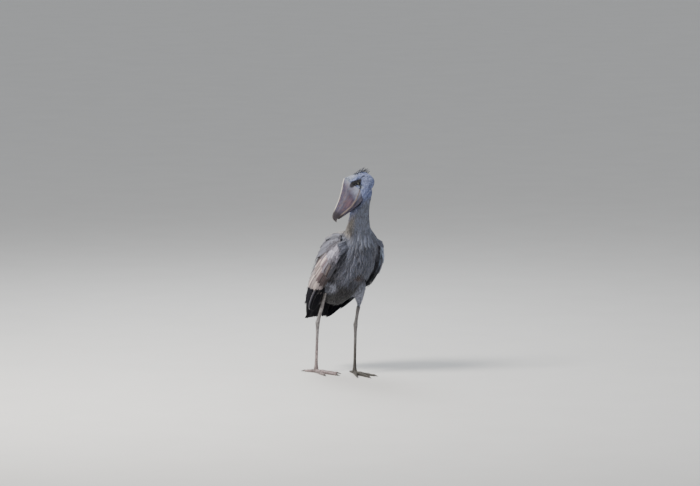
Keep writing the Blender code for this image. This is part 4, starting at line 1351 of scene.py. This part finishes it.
def makeEyeBall(side, name):
    rings, radius = [], stance["eyeRadius"] * eyeSizes["ballShare"]
    for i in range(1, eyeSizes["ballRings"]):
        angle = math.pi * i / eyeSizes["ballRings"]
        off, depth = radius * math.sin(angle), radius * math.cos(angle)
        if depth > 0 and off < eyeSizes["iris"]:
            # the iris is a shallow dish, lowest at the pupil
            depth -= eyeSizes["dish"] * (1 - (off / eyeSizes["iris"]) ** 2)
            depth -= eyeSizes["pupilDeep"] * (off < eyeSizes["pupil"])
        rings.append(eyeRing(side, off, depth))
    mesh = ringMesh(name, rings)
    points, _ = pointsOf(mesh)
    storeOn(mesh, eyeIn=(points - eyeCentre(side)) * np.array((1, side, 1)))
    return headPiece(name, mesh, points)


def makeCornea(side, name):
    radius, steps, edge = stance["eyeRadius"], eyeSizes["corneaRings"], eyeSizes["corneaEdge"]
    outer, inner = [], []
    for i in range(steps + 1):
        off = edge * (1 - i / steps)
        depth = math.sqrt(radius ** 2 - off ** 2) + eyeSizes["bulge"] * (1 - (off / edge) ** 2)
        off = max(off, .0002)  # the pole is a tiny ring, closed by a fan
        outer.append(eyeRing(side, off, depth))
        inner.append(eyeRing(side, off, depth - eyeSizes["corneaThick"]))
    mesh = ringMesh(name, outer[::-1] + inner)
    return headPiece(name, mesh, pointsOf(mesh)[0])


def makeLids(side, name):
    # a bare ring of fine folds: thick rim at the opening, thin where it meets the feathers
    centre, (wide, over, under) = eyeCentre(side), eyeSizes["opening"]
    steps, outer, inner = eyeSizes["lidRings"], [], []
    for i in range(steps):
        f = i / (steps - 1)
        outer.append([])
        inner.append([])
        for a in turnsOf(eyeSizes["lidAround"]):
            c, s = math.cos(a), math.sin(a)
            rim = 1 / math.sqrt((c / wide) ** 2 + (s / (over if s > 0 else under)) ** 2)
            theta = math.radians(rim + (92 - rim) * f)
            folds = .00028 * math.sin(f * 34 + 1.5 * math.sin(3 * a)) * (1 - f) * ramp(0, .12, f)
            lip = .0007 * math.exp(-(f / .07) ** 2)
            way = np.array((c * math.sin(theta), side * math.cos(theta), s * math.sin(theta)))
            outer[-1].append(centre + way * (eyeSizes["lidRadius"] + folds + lip + .0012 * f))
            inner[-1].append(centre + way * (stance["eyeRadius"] + .00025 + .0002 * f))
    rings = inner[::-1] + outer
    faces = ringFaces(len(rings), eyeSizes["lidAround"], loop=True)
    mesh = meshOf(name, [p for ring in rings for p in ring], faces)
    turnOut(mesh)
    return headPiece(name, mesh, pointsOf(mesh)[0])


def irisMaterial():
    made, tree, shader = newMaterial("iris", .25, 0, .5)
    at = namedValue(tree, "eyeIn", "Vector")
    x, _, z = split(at)
    flat = joined(tree, x, 0.0, z)
    off = lengthOf(flat)
    spokes, grain = noiseAt(flat.step("NORMALIZE") * 7.0, 1.0), noiseAt(at * 900.0, 1.0, 2.0)
    # painted shade: the iris is a dark olive, for a pale eye lying in the brow's shadow
    colour = layered(
        mixColour(between(spokes, .35, .65), (.062, .058, .034), (.120, .112, .074)),
        (between(grain, .4, .7, 0.0, .4), (.090, .080, .050)),
        (between(off, .0074, .0086), (.06, .055, .05)),
        (between(off, .0042, .0036), (.004, .004, .005)),
    )
    dressed(shader, colour, spokes, .3, .0003)
    return made


def corneaMaterial():
    made, _, shader = newMaterial("cornea", .03, 0, .5)
    for label, value in (("Transmission Weight", 1), ("IOR", 1.38), ("Base Color", (1, 1, 1, 1))):
        shader.inputs[label].default_value = value
    return made


# Legs: one bare skin from the feathers to the claws, with its scales raised in the mesh

toes = ("middle", "inner", "outer", "hind")
legSizes = dict(voxel=.0013, smoothing=5, scale=.0040, scaleHigh=.00050, scute=.0058,
                scuteHigh=.00055, footHeight=.030, knobs=.0005, groove=.0003)


def makeLegSkin(sideName):
    names = [f"shank_{sideName}", f"tarsus_{sideName}", *[f"toe_{toe}_{sideName}" for toe in toes]]
    leg = remeshed(mergedCopy(names), legSizes["voxel"], legSizes["smoothing"])
    leg.name = leg.data.name = f"leg_{sideName}"
    mesh = leg.data
    points, normals = pointsOf(mesh)
    ankle = np.array(Vector(stance[f"{sideName}Leg"][-1]) + shift)
    flat = points - ankle
    outward = np.linalg.norm(flat[:, :2], axis=1)
    onFoot = ramp(legSizes["footHeight"] + .004, legSizes["footHeight"] - .004, points[:, 2])
    rise = np.zeros(len(points))
    for k, p in enumerate(points):
        stretched = Vector((p[0], p[1], p[2] * (.75 if onFoot[k] < .5 else 1.0)))
        near, _ = noise.voronoi(stretched / legSizes["scale"])
        rise[k] = near[1] - near[0]
    plate = ramp(.0, .34, rise) * legSizes["scaleHigh"]
    # broad scutes across the toes' upper sides
    turn = (outward + .0008 * np.sin(flat[:, 0] * 900)) / legSizes["scute"]
    step = turn - np.floor(turn)
    scute = ramp(.0, .22, step) * ramp(1.0, .80, step) * legSizes["scuteHigh"]
    onScute = onFoot * ramp(.15, .6, normals[:, 2]) * ramp(.012, .020, outward)
    high = mixed(plate, scute, onScute)
    knobbly = np.array([noise.noise(Vector(p) * 90) for p in points]) * legSizes["knobs"]
    sole = ramp(.0025, .0045, points[:, 2])  # the undersides stay on the floor
    high = (high - legSizes["groove"] + knobbly) * sole
    points = points + normals * high[:, None]
    points[:, 2] = np.maximum(points[:, 2], .0)
    setPoints(mesh, points)
    storeOn(mesh, scale=np.clip(high / legSizes["scaleHigh"], 0, 1), onTarsus=ramp(.24, .10, points[:, 2]))
    mesh.shade_smooth()
    return leg


def legMaterial(name, base, low):
    made, tree, shader = newMaterial(name, .62, .05, .35)
    place = objectPlace(tree)
    patches, dust = noiseAt(place, 32.0, 4.0, .6), noiseAt(place, 240.0, 3.0, .6)
    colour = layered(
        mixColour(between(patches, .36, .66), base, tuple(c * .72 for c in base)),
        (namedValue(tree, "onTarsus"), low),
        (between(namedValue(tree, "scale"), .55, .05, 0.0, .62), (.040, .036, .036)),
        (between(dust, .55, .75, 0.0, .35), (.42, .38, .33)),
    )
    dressed(shader, colour, dust, .35, .0006)
    return made


def makeClaw(name):
    claw = mergedCopy([name])
    step = claw.modifiers.new("round", "SUBSURF")
    step.levels = step.render_levels = 2
    settled(claw)
    mesh = claw.data
    points, normals = pointsOf(mesh)
    growth = np.array([.00016 * noise.noise(Vector(p) * 700) for p in points])
    points = points + normals * growth[:, None]
    points[:, 2] = np.maximum(points[:, 2], .0002)
    setPoints(mesh, points)
    claw.name = mesh.name = name.replace("claw", "nail")
    mesh.shade_smooth()
    return claw


feather = featherMaterial("body feathers")
skin = makeSkin()
markPlumage(skin.data, *markLie(skin.data))
unwrapSkin(skin)
print("skin ready:", len(skin.data.polygons), "faces")
coats = makeCoat(skin, feather)
skin.data.materials.append(plainMaterial("under coat"))
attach(skin, "root")
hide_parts("torso", "neck", "head", "thigh_left", "thigh_right")
for piece in coats:
    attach(piece, "root")
print("coat grown")


longFeather = featherMaterial("wing coverts", edge=.60, shaft=.50, barbs=110.0, sheen=.1)
blackFeather = featherMaterial("flight feathers", edge=.55, shaft=.35, barbs=140.0, sheen=0.0, specular=.03)
armSkin = plainMaterial("wing arm")
for side, wingName in ((1, "wing_left"), (-1, "wing_right")):
    arm, armCoat = makeWingArm(side, f"{wingName}_arm", feather)
    groups = wingFeathers(side)
    laid = [layFeathers(f"{wingName}_{kind}s", groups[kind], kind, finish)
            for kind, finish in (("covert", longFeather), ("flight", blackFeather))]
    arm.data.materials.append(armSkin)
    for piece in (arm, armCoat, *laid):
        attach(piece, "root")
    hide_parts(wingName)
near = skinPlaces(skin)
for name, laid in (("breast_sides", sideFeathers), ("mantle_sides", mantleFeathers)):
    piece = layFeathers(name, laid(1, near) + laid(-1, near), "covert", feather)
    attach(piece, "root")
longTail, shortTail = tailFeathers()
tailPiece = layFeathers("tail_feathers", longTail, "flight", blackFeather)
tailCoverts = layFeathers("tail_coverts", shortTail, "covert", longFeather)
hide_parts("tail")
for piece in (tailPiece, tailCoverts):
    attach(piece, "root")
crestPiece = layFeathers("crest", crestFeathers(), "streamer", longFeather)
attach(crestPiece, "root")
print("wings, tail and crest laid")


horn = billMaterial()
for name, upper in (("bill_upper", True), ("bill_lower", False)):
    piece = billHalf(name.replace("bill", "horn"), upper)
    piece.data.materials.append(horn)
    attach(piece, "root")
    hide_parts(name)
iris, clear, lidSkin = irisMaterial(), corneaMaterial(), plainMaterial("lid skin")
for side, sideName in ((1, "left"), (-1, "right")):
    ball = makeEyeBall(side, f"eyeball_{sideName}")
    cornea = makeCornea(side, f"cornea_{sideName}")
    lids = makeLids(side, f"lids_{sideName}")
    for piece, finish in ((ball, iris), (cornea, clear), (lids, lidSkin)):
        piece.data.materials.append(finish)
        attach(piece, "root")
    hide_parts(f"eye_{sideName}")
print("bill and eyes made")

clawHorn = plainMaterial("claw horn")
# the legs are lit and shaded copies of one grey skin: the right leg's paler colours are painted sunlight, the
# left leg's darker ones painted shade, and the left leg is darker still towards the bottom
legLightAndShade = dict(left=((.200, .190, .190), (.062, .058, .048)), right=((.330, .310, .315), (.340, .265, .265)))
for sideName, looks in legLightAndShade.items():
    leg = makeLegSkin(sideName)
    leg.data.materials.append(legMaterial(f"leg skin {sideName}", *looks))
    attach(leg, "root")
    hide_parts(f"shank_{sideName}", f"tarsus_{sideName}", *[f"toe_{toe}_{sideName}" for toe in toes])
    for toe in toes:
        nail = makeClaw(f"claw_{toe}_{sideName}")
        nail.data.materials.append(clawHorn)
        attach(nail, "root")
        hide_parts(f"claw_{toe}_{sideName}")
print("legs and claws made")


# Floor, lights and camera

# the photo's middle and the bird's feet in it are counted in its own pixels
view = dict(azimuth=38, elevation=7, distance=25, metresPerPixel=.0053, photoWidth=700,
            centre=(350, 243), feet=(336, 374))


def makeStage():
    half = 90
    corners = [(-half, -half, 0), (half, -half, 0), (half, half, 0), (-half, half, 0)]
    floor = meshOf("floor", corners, [(0, 1, 2, 3)])
    ground = addObject("floor", floor)
    made, tree, shader = newMaterial("pale floor", .8, 0, .2)
    grain = noiseAt(objectPlace(tree), 3.0, 4.0)
    plugIn(shader, "Base Color", mixColour(grain, (.70, .69, .67), (.76, .75, .73)))
    floor.materials.append(made)
    world = bpy.data.worlds.new("studio")
    world.use_nodes = True
    world.node_tree.nodes["Background"].inputs[0].default_value = (.88, .91, .95, 1)
    world.node_tree.nodes["Background"].inputs[1].default_value = .55
    scene.world = world


def wayTo(azimuth, elevation):
    a, e = math.radians(azimuth), math.radians(elevation)
    return Vector((-math.sin(a) * math.cos(e), -math.cos(a) * math.cos(e), math.sin(e)))


def makeLight(name, azimuth, elevation, distance, size, power, colour):
    lamp = bpy.data.lights.new(name, "AREA")
    lamp.shape, lamp.size, lamp.energy, lamp.color = "DISK", size, power, colour
    made = addObject(name, lamp)
    way = wayTo(azimuth, elevation)
    made.location = Vector((0, 0, .6)) + way * distance  # aimed at the middle of the body
    made.rotation_euler = (-way).to_track_quat("-Z", "Y").to_euler()


def makeCamera():
    a, scale = math.radians(view["azimuth"]), view["metresPerPixel"]
    right = Vector((math.cos(a), -math.sin(a), 0))
    back = wayTo(view["azimuth"], view["elevation"])
    up = back.cross(right)
    across, down = (centre - feet for centre, feet in zip(view["centre"], view["feet"]))
    aim = shift + right * across * scale - up * down * scale
    lens = bpy.data.cameras.new("camera")
    lens.sensor_width = 36
    lens.lens = lens.sensor_width * view["distance"] / (view["photoWidth"] * scale)
    lens.clip_end = 200
    camera = addObject("camera", lens)
    camera.location = aim + back * view["distance"]
    camera.rotation_euler = back.to_track_quat("Z", "Y").to_euler()
    scene.camera = camera


makeStage()
makeLight("key", 92, 46, 4.5, 1.4, 330, (1.0, .96, .90))
makeLight("fill", -30, 20, 5.0, 3.0, 45, (.84, .91, 1.0))
makeLight("back", 200, 50, 4.5, 2.4, 120, (.90, .95, 1.0))
makeCamera()
print("floor, lights and camera set")
